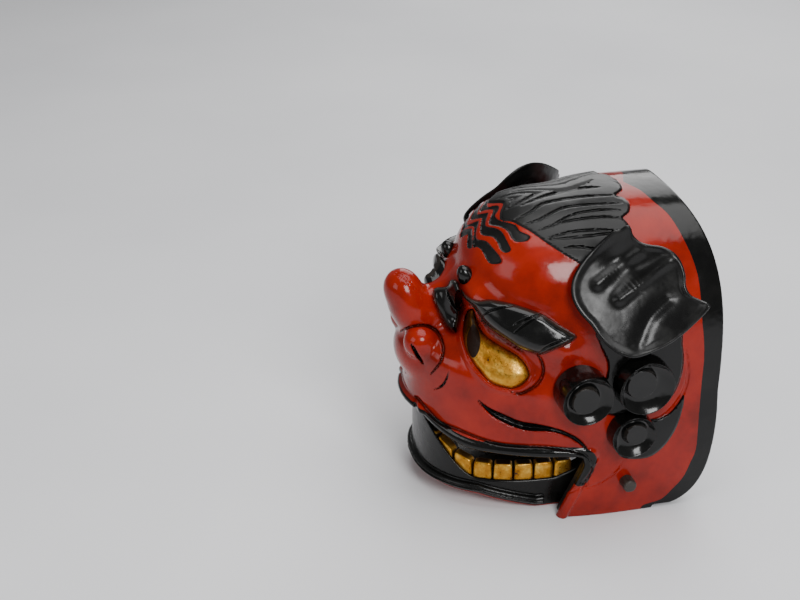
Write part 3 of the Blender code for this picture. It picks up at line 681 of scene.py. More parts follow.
def addNode(tree, kind, settings=None, links=None, output=0):
    # one node: settings are its properties, a ramp's stops or its sockets' values
    node = tree.nodes.new("ShaderNode" + kind)
    sockets = {socket.identifier: socket for socket in node.inputs}
    for key, value in (settings or {}).items():
        if key == "stops":
            while len(node.color_ramp.elements) < len(value):
                node.color_ramp.elements.new(0.5)
            for element, (place, colour) in zip(node.color_ramp.elements, value):
                element.position, element.color = place, linear(colour)
        elif key in sockets:
            sockets[key].default_value = value
        else:
            setattr(node, key, value)
    for key, socket in (links or {}).items():
        tree.links.new(socket, sockets[key])
    return node.outputs[output]


def newMaterial(name):
    material = bpy.data.materials.new(name)
    material.use_nodes = True
    tree = material.node_tree
    shader = tree.nodes["Principled BSDF"]
    return material, tree, shader, addNode(tree, "TexCoord", output="Object")


def setLook(shader, values=None, links=None):
    for key, value in (values or {}).items():
        shader.inputs[key].default_value = value
    for key, socket in (links or {}).items():
        shader.id_data.links.new(socket, shader.inputs[key])


def perMetre(millimetres):
    # the noise scale whose features are this large
    return 1000.0 / millimetres


def between(low, high, toLow=0.0, toHigh=1.0):
    # settings that turn one range of values softly into another
    return {"interpolation_type": "SMOOTHSTEP", "From Min": low, "From Max": high,
            "To Min": toLow, "To Max": toHigh}


def lacquerRelief(tree, shader, place, look):
    # long soft waves of the knife under the lacquer, and the grain of dust in it
    below = {}
    for word, detail in (("facet", 2.0), ("dust", 3.0)):
        height = addNode(tree, "TexNoise", {"Scale": perMetre(look[word + "Mm"]), "Detail": detail},
                         {"Vector": place})
        below = {"Normal": addNode(tree, "Bump", {"Strength": 1.0, "Distance": look[word + "Depth"]},
                                   {"Height": height, **below})}
    setLook(shader, {}, below)


# The darkest red listed here is painted shade for creases and grooves.
redLook = {
    "shades": ("#6C130A", "#88180C", "#9A2010"), "places": (0.30, 0.50, 0.72), "creaseShade": "#3A0D07",
    "roughLow": 0.10, "roughHigh": 0.20, "mottleMm": 60.0, "edgeMm": 3.0,
    "facetMm": 26.0, "facetDepth": 0.0008, "dustMm": 1.6, "dustDepth": 0.00002,
}
blackLook = {
    "shades": ("#060606", "#0C0C0B", "#141312"),
    "places": (0.30, 0.55, 0.75), "piecePlaces": (0.30, 0.55, 0.78),
    "rubbed": "#3A332D", "roughLow": 0.11, "roughHigh": 0.24, "satinLow": 0.30, "satinHigh": 0.42,
    "mottleMm": 30.0, "facetMm": 20.0, "facetDepth": 0.0008, "dustMm": 1.6, "dustDepth": 0.00002,
}


# Urushi lacquer on carved wood, red over black and polished: deep wet gloss, darker in the cuts as painted
# shade, with the brush edge where the red stops against the black.
def lacqueredHead():
    material, tree, shader, place = newMaterial("urushiLacquerPolished")
    lacquerRelief(tree, shader, place, redLook)
    mottle = addNode(
        tree, "TexNoise", {"Scale": perMetre(redLook["mottleMm"]), "Detail": 4.0, "Roughness": 0.6},
        {"Vector": place})
    red, black = (
        addNode(tree, "ValToRGB", {"stops": list(zip(look["places"], look["shades"]))}, {"Fac": mottle})
        for look in (redLook, blackLook))
    paint, crease, satin = (addNode(tree, "Attribute", {"attribute_name": name}, output="Fac")
                            for name in ("blackPaint", "crease", "satin"))
    # painted shade: the red is darkened towards a deep brown-red in creases and grooves, by how hollow the
    # surface is
    creaseShadeShare = addNode(tree, "MapRange", between(0.30, 0.95, 0.0, 0.85), {"Value": crease})
    red = addNode(tree, "Mix", {"data_type": "RGBA", "B_Color": linear(redLook["creaseShade"])},
                  {"Factor_Float": creaseShadeShare, "A_Color": red}, 2)
    # the brush wandered a little along the border
    brush = addNode(tree, "TexNoise", {"Scale": perMetre(redLook["edgeMm"]), "Detail": 2.0},
                    {"Vector": place})
    wobble = addNode(tree, "Math", {"operation": "MULTIPLY_ADD", "Value_001": 1.0, "Value_002": -0.5},
                     {"Value": brush})
    painted = addNode(tree, "Math", {"operation": "MULTIPLY_ADD", "Value_001": 0.5},
                      {"Value": wobble, "Value_002": paint})
    blackShare = addNode(tree, "MapRange", between(-0.12, 0.12), {"Value": painted})
    colour = addNode(tree, "Mix", {"data_type": "RGBA"},
                     {"Factor_Float": blackShare, "A_Color": red, "B_Color": black}, 2)
    glossy, dull = (
        addNode(tree, "MapRange", between(0.35, 0.70, low, high), {"Value": mottle})
        for low, high in ((redLook["roughLow"], redLook["roughHigh"]),
                          (blackLook["satinLow"], blackLook["satinHigh"])))
    satin = addNode(tree, "MapRange", between(-0.5, 0.5), {"Value": satin})
    rough = addNode(tree, "Mix", {}, {"Factor_Float": satin, "A_Float": glossy, "B_Float": dull})
    setLook(shader, {"IOR": 1.45, "Specular IOR Level": 0.34}, {"Base Color": colour, "Roughness": rough})
    return material


# Black urushi, the same ground without the red: near-black with a cool reflection and faint rubbed edges.
def blackLacquer(name, low, high, coat):
    material, tree, shader, place = newMaterial(name)
    lacquerRelief(tree, shader, place, blackLook)
    mottle = addNode(
        tree, "TexNoise", {"Scale": perMetre(blackLook["mottleMm"]), "Detail": 5.0, "Roughness": 0.6},
        {"Vector": place})
    black = addNode(tree, "ValToRGB", {"stops": list(zip(blackLook["piecePlaces"], blackLook["shades"]))},
                    {"Fac": mottle})
    crease = addNode(tree, "Attribute", {"attribute_name": "crease"}, output="Fac")
    rubbed = addNode(tree, "MapRange", between(-0.15, -0.5, 0.0, 0.35), {"Value": crease})
    black = addNode(tree, "Mix", {"data_type": "RGBA", "B_Color": linear(blackLook["rubbed"])},
                    {"Factor_Float": rubbed, "A_Color": black}, 2)
    rough = addNode(tree, "MapRange", between(0.35, 0.72, low, high), {"Value": mottle})
    setLook(shader, {"IOR": 1.45, "Specular IOR Level": 0.38, "Coat Weight": coat, "Coat Roughness": 0.10},
            {"Base Color": black, "Roughness": rough})
    return material


# The brown here is painted shade on the eye's upper part, under the brow.
goldLook = {
    "shades": ("#9A5C18", "#C08A30", "#E2B858"), "places": (0.30, 0.52, 0.70),
    "ground": "#1E1008", "brown": "#5E3A14", "browShadeShare": 0.78, "goneLow": 0.56, "goneHigh": 0.66,
    "roughLow": 0.24, "roughHigh": 0.52, "leafMm": 16.0, "wrinkleMm": 2.2, "wrinkleDepth": 0.00022,
}


# Gold leaf laid by hand over lacquer and rubbed through: warm broken metal, with the brown ground
# in its cracks. In creases the gold is darkened to the ground colour as painted shade.
def goldLeaf(name, worn, pupil=False):
    look = goldLook
    material, tree, shader, place = newMaterial(name)
    patch = addNode(tree, "TexNoise", {"Scale": perMetre(look["leafMm"]), "Detail": 5.0, "Roughness": 0.62},
                    {"Vector": place})
    fine = addNode(tree, "TexNoise", {"Scale": perMetre(look["wrinkleMm"]), "Detail": 4.0, "Roughness": 0.65},
                   {"Vector": place})
    leaf = addNode(tree, "ValToRGB", {"stops": list(zip(look["places"], look["shades"]))}, {"Fac": patch})
    crease = addNode(tree, "Attribute", {"attribute_name": "crease"}, output="Fac")
    speck = addNode(tree, "Math", {"operation": "MULTIPLY_ADD", "Value_001": 0.55},
                    {"Value": fine, "Value_002": patch})
    wornAndShaded = addNode(tree, "MapRange", between(look["goneHigh"] + worn, look["goneLow"] + worn),
                   {"Value": speck})
    # painted shade: in creases the gold gives way to the dark ground colour
    hidden = [addNode(tree, "MapRange", between(0.25, 0.8), {"Value": crease})]
    if pupil:
        pupilHere, upper = (addNode(tree, "Attribute", {"attribute_name": word}, output="Fac")
                            for word in ("pupil", "upper"))
        hidden.append(addNode(tree, "MapRange", between(-0.2, 0.2), {"Value": pupilHere}))
        # painted shade: the eye's upper part, under the brow, is darkened to brown
        brown = addNode(tree, "MapRange", between(0.0, 1.0, 0.0, look["browShadeShare"]), {"Value": upper})
        leaf = addNode(tree, "Mix", {"data_type": "RGBA", "B_Color": linear(look["brown"])},
                       {"Factor_Float": brown, "A_Color": leaf}, 2)
    for share in hidden:
        wornAndShaded = addNode(tree, "Math", {"operation": "MAXIMUM"}, {"Value": wornAndShaded, "Value_001": share})
    colour = addNode(tree, "Mix", {"data_type": "RGBA", "B_Color": linear(look["ground"])},
                     {"Factor_Float": wornAndShaded, "A_Color": leaf}, 2)
    metal = addNode(tree, "MapRange", {"To Min": 0.92, "To Max": 0.0}, {"Value": wornAndShaded})
    rough = addNode(tree, "MapRange", between(0.3, 0.7, look["roughLow"], look["roughHigh"]), {"Value": fine})
    bump = addNode(tree, "Bump", {"Strength": 1.0, "Distance": look["wrinkleDepth"]}, {"Height": fine})
    setLook(shader, {"Specular IOR Level": 0.22},
            {"Base Color": colour, "Metallic": metal, "Roughness": rough, "Normal": bump})
    return material


# Stained hardwood peg, turned and left bare: dull, nearly black, with grain along the peg.
def pegWood():
    material, tree, shader, place = newMaterial("stainedHardwoodTurned")
    stretch = addNode(tree, "Mapping", {"Scale": (0.12, 1.0, 1.0)}, {"Vector": place})
    grain = addNode(tree, "TexNoise", {"Scale": perMetre(1.4), "Detail": 4.0}, {"Vector": stretch})
    colour = addNode(tree, "ValToRGB", {"stops": [(0.3, "#1A1512"), (0.55, "#2E2722"), (0.75, "#453B33")]},
                     {"Fac": grain})
    rough = addNode(tree, "MapRange", between(0.3, 0.7, 0.42, 0.62), {"Value": grain})
    bump = addNode(tree, "Bump", {"Strength": 1.0, "Distance": 0.0002}, {"Height": grain})
    setLook(shader, {}, {"Base Color": colour, "Roughness": rough, "Normal": bump})
    return material


# The inside of the head: lacquered once, brushed thinly, so it stays dull and shows the gouge.
def hollowLacquer():
    material, tree, shader, place = newMaterial("blackLacquerBrushedInside")
    gouge = addNode(tree, "TexVoronoi", {"feature": "SMOOTH_F1", "Scale": perMetre(14.0), "Smoothness": 0.5},
                    {"Vector": place})
    mottle = addNode(tree, "TexNoise", {"Scale": perMetre(35.0), "Detail": 5.0}, {"Vector": place})
    colour = addNode(tree, "ValToRGB", {"stops": [(0.3, "#0B0A0A"), (0.55, "#17130F"), (0.8, "#2A2019")]},
                     {"Fac": mottle})
    rough = addNode(tree, "MapRange", between(0.3, 0.7, 0.30, 0.50), {"Value": mottle})
    bump = addNode(tree, "Bump", {"Strength": 1.0, "Distance": 0.0012}, {"Height": gouge})
    setLook(shader, {}, {"Base Color": colour, "Roughness": rough, "Normal": bump})
    return material


# Cotton sheet, ironed and laid flat: pale, matt, with a faint weave.
def sheetCloth():
    material, tree, shader, place = newMaterial("cottonSheetIroned")
    mottle = addNode(tree, "TexNoise", {"Scale": perMetre(714.2857), "Detail": 3.0}, {"Vector": place})
    colour = addNode(tree, "ValToRGB", {"stops": [(0.3, "#DFDFE2"), (0.7, "#E9E9EB")]}, {"Fac": mottle})
    weave = addNode(tree, "TexNoise", {"Scale": perMetre(2.5), "Detail": 2.0}, {"Vector": place})
    bump = addNode(tree, "Bump", {"Strength": 0.3, "Distance": 0.0003}, {"Height": weave})
    setLook(shader, {"Roughness": 0.85}, {"Base Color": colour, "Normal": bump})
    return material


headLacquer = lacqueredHead()
blackUrushi = blackLacquer("blackUrushiPolished", blackLook["roughLow"], blackLook["roughHigh"], 0.1)
earUrushi = blackLacquer("blackUrushiOnHide", 0.26, 0.40, 0.0)
eyeGold = goldLeaf("goldLeafRubbedEye", -0.06, True)
toothGold = goldLeaf("goldLeafRubbedTeeth", 0.0)
peg = pegWood()
hollowBlack = hollowLacquer()


def makePiece(name, points, faces, material, body, node, slot, normals=None, attributes=None):
    mesh = bpy.data.meshes.new(name)
    points = np.asarray(points, float) + np.array([0.0, shiftY, 0.0])
    faces = [tuple(int(i) for i in face) for face in faces]
    mesh.from_pydata(points.tolist(), [], faces)
    mesh.polygons.foreach_set("use_smooth", [True] * len(mesh.polygons))
    mesh.materials.append(material)
    for key, values in (attributes or {}).items():
        layer = mesh.attributes.new(key, "FLOAT", "POINT")
        layer.data.foreach_set("value", np.asarray(values, np.float32))
    mesh.update()
    if normals is not None:
        size = np.linalg.norm(normals, axis=1)[:, None] + 1e-9
        mesh.normals_split_custom_set_from_vertices((normals / size).tolist())
    piece = bpy.data.objects.new(name, mesh)
    bpy.context.scene.collection.objects.link(piece)
    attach(piece, body)
    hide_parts(node)


def makePair(name, points, faces, material, node, slot, normals=None, attributes=None):
    # a piece of the left side, and its mirror image
    for side, word in ((1, "Left"), (-1, "Right")):
        flip = np.array([side, 1.0, 1.0])
        makePiece(name + word, points * flip, faces[:, ::side], material, "head",
                  node + "_" + word.lower(), slot, None if normals is None else normals * flip, attributes)


def trimmed(points, faces, keepFace):
    # the faces that pass a test, with the points they use
    faces = faces[keepFace]
    used = np.unique(faces)
    lookup = np.full(len(points), -1)
    lookup[used] = np.arange(len(used))
    return used, lookup[faces]


paintForm = {
    "areas": ("hair", "chevrons", "rimBand", "curlField", "lowerLobe", "cheekGroove", "crescent"),
    "satinAreas": ("hair", "chevrons"),
    "nostrilInset": 0.2,  # pixels
    "lipThinning": 0.0040,
    "lipThinY": -0.165,
    "lipThinRun": 0.020,
    "lipRearY": 0.03,
    "rimEdge": 0.004,
    "innerDepth": 0.0065,  # deeper than this below the carved face is the inside
}


def buildShell():
    points, quads, normals = levelMesh(shellField, *headForm["box"], headForm["cell"])
    print("shell", len(points), "points")
    form = paintForm
    p = mirrored(points)
    u, v = toPhoto(p)
    black = [-onSheet(charts[name], u, v) for name in form["areas"]]
    satin = np.max([-onSheet(charts[name], u, v) for name in form["satinAreas"]], 0)
    nostril = -onSheet(charts["nostril"], u, v) - form["nostrilInset"]
    # the lip's black band, thinner in front and ending above the plate's front edge
    thin = smoothStep((form["lipThinY"] - p[:, 1]) / form["lipThinRun"])
    lip = -mouthVoid(p, headForm["lipBand"] - form["lipThinning"] * thin, headForm["lipBandCorner"])
    lip = np.minimum(lip, p[:, 2] - headForm["lipBandLowest"])
    lip = np.where(p[:, 1] < form["lipRearY"], lip / photoView["pixel"], -9)
    rim = (rimSide(p) + form["rimEdge"]) / photoView["pixel"]
    paint = np.max(black + [nostril, lip, rim], 0)
    crease = hollowness(shellField, points, normals)
    innerFace = (carvedFace(p) < -form["innerDepth"])[quads].all(1)
    for name, chosen, material, slot in (("headShell", ~innerFace, headLacquer, "red_lacquer"),
                                         ("headHollow", innerFace, hollowBlack, "black_lacquer")):
        used, faces = trimmed(points, quads, chosen)
        makePiece(name, points[used], faces, material, "head", "head_shell", slot, normals[used],
                  {"blackPaint": paint[used], "crease": crease[used], "satin": satin[used]})
        print(name, len(faces) * 2, "triangles")


# Pieces that follow an outline and stand out of the face like a pillow. Cuts are a line's name, depth,
# start and slope, and the outline is widened by some pixels.
raisedForms = {
    "brow": {
        "chart": "brow", "pillow": 9.0, "foot": 0.0010, "rise": 0.0125,
        "cuts": ("browCuts", 0.0022, 0.4, 1.6),
        "box": ((0.030, -0.165, 0.185), (0.155, -0.005, 0.310)), "look": blackUrushi, "node": "brow",
        "slot": "black_lacquer", "sink": 0.006, "soften": 0.003, "wider": 0.0,
    },
    "bridgeLeaf": {
        "chart": "bridgeLeaf", "pillow": 6.0, "foot": 0.0030, "rise": 0.0075,
        "cuts": ("leafCut", 0.0030, 0.5, 2.0),
        "box": ((0.006, -0.185, 0.205), (0.052, -0.115, 0.300)), "look": blackUrushi, "node": "bridge_leaf",
        "slot": "black_lacquer", "sink": 0.006, "soften": 0.003, "wider": 0.0,
    },
    "eye": {
        "chart": "eye", "pillow": 16.0, "foot": -0.0040, "rise": 0.0095, "cuts": None,
        "box": ((0.035, -0.165, 0.160), (0.140, -0.050, 0.290)), "look": eyeGold, "node": "eye",
        "slot": "gold_leaf", "sink": 0.010, "soften": 0.001, "wider": 0.8,
    },
}
raisedCell = 0.0012
# The eye's upper part, under the brow, is painted brown as painted shade; these numbers place where that
# shade starts.
eyeShade = {"v": 352, "u": 480, "lean": 0.35, "run": 34}  # where the gold turns brown, in pixels


def raisedField(form):
    pillow = np.clip(-charts[form["chart"]] / form["pillow"], 0, 1)
    height = form["foot"] + form["rise"] * np.sqrt(pillow * (2 - pillow))
    if form["cuts"]:
        name, depth, start, slope = form["cuts"]
        height -= depth * smoothStep((start - charts[name]) / slope)
    outline = charts[form["chart"]] - form["wider"]

    def field(points):
        p = mirrored(points)
        u, v = toPhoto(p)
        face = plainFace(p)
        edge = onSheet(outline, u, v) * photoView["pixel"]
        top = face - onSheet(height, u, v)
        return np.maximum(keep(top, edge, form["soften"]), -(face + form["sink"]))
    return field


def buildRaised(name):
    form = raisedForms[name]
    field = raisedField(form)
    points, quads, normals = levelMesh(field, *form["box"], raisedCell)
    extra = {"crease": hollowness(field, points, normals, 0.003)}
    if name == "eye":
        u, v = toPhoto(mirrored(points))
        extra["pupil"] = -onSheet(charts["pupil"], u, v)
        # painted shade under the brow: how far up the eye a point lies
        brown = eyeShade["v"] - v - eyeShade["lean"] * (u - eyeShade["u"])
        extra["upper"] = smoothStep(brown / eyeShade["run"])
    makePair(name, points, quads, form["look"], form["node"], form["slot"], normals, extra)
    print(name, len(quads) * 2, "triangles a side")


beadForm = {
    "centre": (0.0375, -0.1305, 0.2935),
    "radii": (0.0100, 0.0100, 0.0148),
    "tilt": 0.45,
    "box": ((0.024, -0.150, 0.272), (0.051, -0.111, 0.315)),
    "cell": 0.0011,
}


def buildBeads():
    def field(points):
        return ellipsoid(points, beadForm["centre"], beadForm["radii"], beadForm["tilt"])
    points, quads, normals = levelMesh(field, *beadForm["box"], beadForm["cell"])
    makePair("browBead", points, quads, blackUrushi, "brow_ball", "black_lacquer", normals,
             {"crease": np.zeros(len(points))})


curlForm = {
    "base": 0.137,
    "face": 0.176,
    # each curl's middle from the side, and its radius
    "a": (-0.017, 0.181, 0.031),
    "b": (0.055, 0.189, 0.034),
    "c": (0.044, 0.124, 0.027),
    # each curl's flat eye: middle in the picture, radius, and where the coil starts, in radians
    "eyeA": ((587.0, 403.0), 0.0162, 2.5),
    "eyeB": ((643.0, 386.0), 0.0178, 2.6),
    "eyeC": ((637.5, 436.0), 0.0130, 2.6),
    "coilStart": 0.62,  # share of a turn after which the eye widens
    "coilStep": 0.55,
    "coilPower": 1.3,
    "coveDepth": 0.0085,
    "coveStep": 0.0035,
    "coveWidth": 0.012,
    "eyeInset": 0.0008,
    "taper": 0.0012,
    "taperRun": 0.02,
    "margin": 0.005,
    "cell": 0.0011,
}


def curlField(letter):
    form = curlForm
    y0, z0, radius = form[letter]
    spot, eyeRadius, start = form["eye" + letter.upper()]
    face = form["face"]
    eye = fromPhoto([spot], np.array([face, 0.0, 0.0]), np.array([1.0, 0.0, 0.0]))[0]

    def field(points):
        x, y, z = points[:, 0], points[:, 1], points[:, 2]
        away = np.hypot(y - y0, z - z0)
        fromEye = np.hypot(y - eye[1], z - eye[2])
        turn = np.arctan2(z - eye[2], y - eye[1])
        share = ((turn - start) / (2 * math.pi)) % 1.0
        # the flat eye widens as it winds, until it runs out into the drum's outer edge
        widening = np.clip(share - form["coilStart"], 0, 1) ** form["coilPower"]
        coil = eyeRadius * (1 + form["coilStep"] * widening)
        band = np.maximum(radius - away + fromEye - coil, 1e-4)
        cove = np.clip((fromEye - coil) / band, 0, 1)
        wide = np.clip(band / form["coveWidth"], 0, 1)
        dip = form["coveDepth"] * wide * np.sin(math.pi * np.clip(cove, 0, 1) ** 0.6) ** 0.8
        dip = dip + form["coveStep"] * wide * smoothStep(cove * 6)
        top = face - form["eyeInset"] - np.where(fromEye > coil, dip, 0.0)
        side = away - radius - form["taper"] * np.clip((face - x) / form["taperRun"], 0, 1)
        return keep(np.maximum(side, form["base"] - x), (x - top) * 0.7, 0.0012)
    return field


def buildCurls():
    for letter in "abc":
        y0, z0, radius = curlForm[letter]
        field = curlField(letter)
        reach = radius + curlForm["margin"]
        points, quads, normals = levelMesh(
            field, (curlForm["base"] - 0.003, y0 - reach, z0 - reach),
            (curlForm["face"] + curlForm["margin"], y0 + reach, z0 + reach), curlForm["cell"])
        makePair("curl" + letter.upper(), points, quads, blackUrushi, "curl_" + letter, "black_lacquer",
                 normals, {"crease": hollowness(field, points, normals, 0.003)})
        print("curl", letter, len(quads) * 2, "triangles")


earForm = {
    "middle": (0.150, 0.035, 0.297),
    "down": (0.524, -0.034, -0.851),
    "back": (0.2625, 0.957, 0.123),
    "root": (-0.045, -0.005),
    "stemDepth": 0.036,
    "thickness": 0.0070,
    "edge": 0.0026,
    "bowlRadius": 0.07, "bowlRise": 0.010, "bowlSink": 0.008,
    "dimpleRadius": 0.022, "dimpleDepth": 0.010,
    "rimLift": 0.0022,
    "swing": 1.45,
    "swungRaise": 0.6,
    "swungShift": np.array([0.0, -0.010, -0.020]),
    "rings": 34,
    "spokes": 168,
    "stemRadius": 0.010,
    "outline": [(620, 231), (628, 227), (632, 236), (640, 243), (650, 246), (662, 248), (673, 254),
                (680, 263), (684, 275), (685, 287), (690, 296), (699, 301), (708, 306), (704, 313),
                (696, 321), (683, 333), (668, 344), (653, 351), (640, 356), (630, 357), (619, 353),
                (609, 346), (600, 337), (592, 325), (581, 313), (574, 301), (572, 290), (574, 278),
                (581, 265), (590, 254), (602, 242), (613, 233)],
    "ridges": [([(668, 262), (650, 275), (620, 299)], 0.0050, 6.5),
               ([(640, 252), (625, 262), (598, 284)], 0.0040, 6.0),
               ([(668, 300), (650, 318), (638, 345)], 0.0035, 7.0)],
}


def buildEars():
    form = earForm
    middle, down, back = (np.array(form[key]) for key in ("middle", "down", "back"))
    normal = np.cross(down, back)
    normal /= np.linalg.norm(normal)
    outline = fromPhoto(smoothLine(form["outline"], True, 8), middle, normal) - middle
    flat = np.stack([outline @ down, outline @ back], 1)
    centre = flat.mean(0)
    length = np.append(0, np.cumsum(np.linalg.norm(np.diff(np.vstack([flat, flat[:1]]), axis=0), axis=1)))
    stops = np.linspace(0, length[-1], form["spokes"], endpoint=False)
    closed = np.vstack([flat, flat[:1]])
    edge = np.stack([np.interp(stops, length, closed[:, i]) for i in (0, 1)], 1)
    rings, spokes = form["rings"], form["spokes"]
    shares = 1 - (1 - np.arange(1, rings + 1) / rings) ** 1.25
    spots = np.vstack([centre[None]] + [centre + share * (edge - centre) for share in shares])
    near = np.concatenate([[0.0]] + [np.full(spokes, share) for share in shares])

    def lift(s, t):
        out = (s**2 + t**2) / form["bowlRadius"] ** 2
        rise = form["bowlRise"] * out - form["bowlSink"]
        rootGap = ((s - form["root"][0]) ** 2 + (t - form["root"][1]) ** 2) / form["dimpleRadius"] ** 2
        rise = rise - form["dimpleDepth"] * np.exp(-rootGap)
        where = middle + s[:, None] * down + t[:, None] * back
        u, v = toPhoto(where)
        for line, height, width in form["ridges"]:
            trace = smoothLine(line, False, 10)
            gap = np.min(np.hypot(u[:, None] - trace[None, :, 0], v[:, None] - trace[None, :, 1]), 1)
            rise = rise + height * np.exp(-((gap / width) ** 2))
        return rise

    rise = lift(spots[:, 0], spots[:, 1])
    thick = form["edge"] + (form["thickness"] - form["edge"]) * np.sqrt(np.clip(1 - near**3, 0, 1))
    rimLift = form["rimLift"] * smoothStep((near - 0.86) / 0.12)
    half = len(spots)
    world = middle + spots[:, :1] * down + spots[:, 1:] * back
    upper = world + (rise + rimLift + thick / 2)[:, None] * normal
    lower = world + (rise + rimLift - thick / 2)[:, None] * normal
    # a round bead closes the rim
    outward = np.roll(edge, -1, 0) - np.roll(edge, 1, 0)
    outward = np.stack([outward[:, 1], -outward[:, 0]], 1)
    outward /= np.linalg.norm(outward, axis=1)[:, None]
    if ((edge - centre) * outward).sum() < 0:
        outward = -outward
    rimWorld = world[-spokes:] + form["edge"] / 2 * (outward[:, :1] * down + outward[:, 1:] * back)
    rimWorld = rimWorld + (rise + rimLift)[-spokes:, None] * normal
    points = np.vstack([upper, lower, rimWorld])
    faces = []
    rimStart = 1 + (rings - 1) * spokes
    for k in range(spokes):
        n = (k + 1) % spokes
        faces.append((0, 1 + k, 1 + n))
        faces.append((half, half + 1 + n, half + 1 + k))
        for ring in range(rings - 1):
            a = 1 + ring * spokes
            faces.append((a + k, a + spokes + k, a + spokes + n, a + n))
            faces.append((half + a + n, half + a + spokes + n, half + a + spokes + k, half + a + k))
        faces.append((rimStart + k, 2 * half + k, 2 * half + n, rimStart + n))
        faces.append((half + rimStart + n, 2 * half + n, 2 * half + k, half + rimStart + k))
    root = middle + form["root"][0] * down + form["root"][1] * back
    root = root + normal * (lift(np.array([form["root"][0]]), np.array([form["root"][1]]))[0])
    stemPoints, stemFaces = stem(root, normal, back, form["stemDepth"])

    for side, word in ((1, "Left"), (-1, "Right")):
        flip = np.array([side, 1.0, 1.0])
        leaf, post = points, stemPoints
        if side == -1:
            leaf, post = (swung(spotsNow, root, normal, -form["swing"]) for spotsNow in (leaf, post))
            farX = max(abs(corner[0]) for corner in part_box("ear_right"))
            lifted = form["swungRaise"] * (farX - leaf[:, 0].max()) / normal[0]
            leaf = leaf + normal * lifted + form["swungShift"]
            outer = ((post - root) @ normal > -0.02)[:, None]
            post = np.where(outer, post + normal * lifted + form["swungShift"], post)
        node = "ear_" + word.lower()
        for name, spots, rows, look in (("ear", leaf, faces, earUrushi),
                                        ("earStem", post, stemFaces, blackUrushi)):
            makePiece(name + word, spots * flip, [row[::side] for row in rows], look, "head", node,
                      "black_lacquer", None, {"crease": np.zeros(len(spots))})
    print("ears", len(faces), "faces a side")


def stem(root, normal, across, depth):
    across = across - across @ normal * normal
    across = across / np.linalg.norm(across)
    other = np.cross(normal, across)
    profile = [(0.0, 0.0), (0.6, 0.0), (1.0, -0.0015), (1.0, -0.006), (0.92, -0.012),
               (0.92, -depth), (0.0, -depth)]
    points, faces = [], []
    sides = 40
    for share, level in profile:
        for k in range(sides):
            turn = 2 * math.pi * k / sides
            around = math.cos(turn) * across + math.sin(turn) * other
            points.append(root + normal * level + earForm["stemRadius"] * share * around)
    for ring in range(len(profile) - 1):
        for k in range(sides):
            a, b = ring * sides + k, ring * sides + (k + 1) % sides
            faces.append((a, b, b + sides, a + sides)[::-1])
    return np.array(points), faces


def swung(spots, root, normal, swing):
    local = spots - root
    sine, cosine = math.sin(swing), math.cos(swing)
    turned = local * cosine + np.cross(normal, local) * sine
    return turned + (local @ normal)[:, None] * normal * (1 - cosine) + root


def buildJaw():
    points, quads, normals = levelMesh(jawField, *jawForm["box"], jawForm["cell"])
    p = mirrored(points)
    under = (jawUnder(p[:, 1]) + jawForm["redUnder"] - p[:, 2]) / photoView["pixel"]
    crease = hollowness(jawField, points, normals)
    makePiece("lowerJaw", points, quads, headLacquer, "jaw", "lower_jaw", "black_lacquer", normals,
              {"blackPaint": -under, "crease": crease})
    print("jaw", len(quads) * 2, "triangles")


toothForm = {
    "perSide": 9,
    "halfDepth": 0.0068,
    "inset": 0.0095,
    "lowerTopZ": 0.064,
    "lowerFrontRise": 0.036,
    "lowerRearY": -0.008,
    "upperInset": 0.014,
    "upperDrop": 0.013,
    "root": 0.006,
    "gapShare": 0.06,
}


def lowerTip(y):
    front = jawForm["reach"] - jawForm["startY"] - 0.047
    return toothForm["lowerTopZ"] + toothForm["lowerFrontRise"] * np.clip((-y - front) / 0.040, 0, 1.2) ** 1.3


def upperTip(y):
    # short in front, where the jaw's board rises to the lip
    short = np.clip((headForm["lipRiseY"] - y) / (0.8 * headForm["lipRiseRun"]), 0, 1)
    return lipHeight(y) - toothForm["upperDrop"] * (1 - 0.75 * short)


def archPath(halfWidth, startY, reach, power, backY):
    turns = np.linspace(0, math.pi / 2, 400)
    x = halfWidth * np.sin(turns) ** (2 / power)
    y = startY - reach * np.cos(turns) ** (2 / power)
    if backY > startY:
        x, y = np.append(x, halfWidth), np.append(y, backY)
    use = y <= backY + 1e-9
    x, y = x[use], y[use]
    x = np.concatenate([-x[::-1], x[1:]])
    y = np.concatenate([y[::-1], y[1:]])
    return x, y, np.append(0, np.cumsum(np.hypot(np.diff(x), np.diff(y))))


def roundedBlock(step=7):
    # a unit block whose corners are worn round, as points in -1..1
    work = bmesh.new()
    bmesh.ops.create_cube(work, size=2.0)
    bmesh.ops.subdivide_edges(work, edges=work.edges[:], cuts=step, use_grid_fill=True)
    spots = np.array([v.co[:] for v in work.verts])
    faces = [tuple(v.index for v in f.verts) for f in work.faces]
    work.free()
    power = 7.0
    size = (np.abs(spots) ** power).sum(1) ** (1 / power)
    return spots / size[:, None], faces


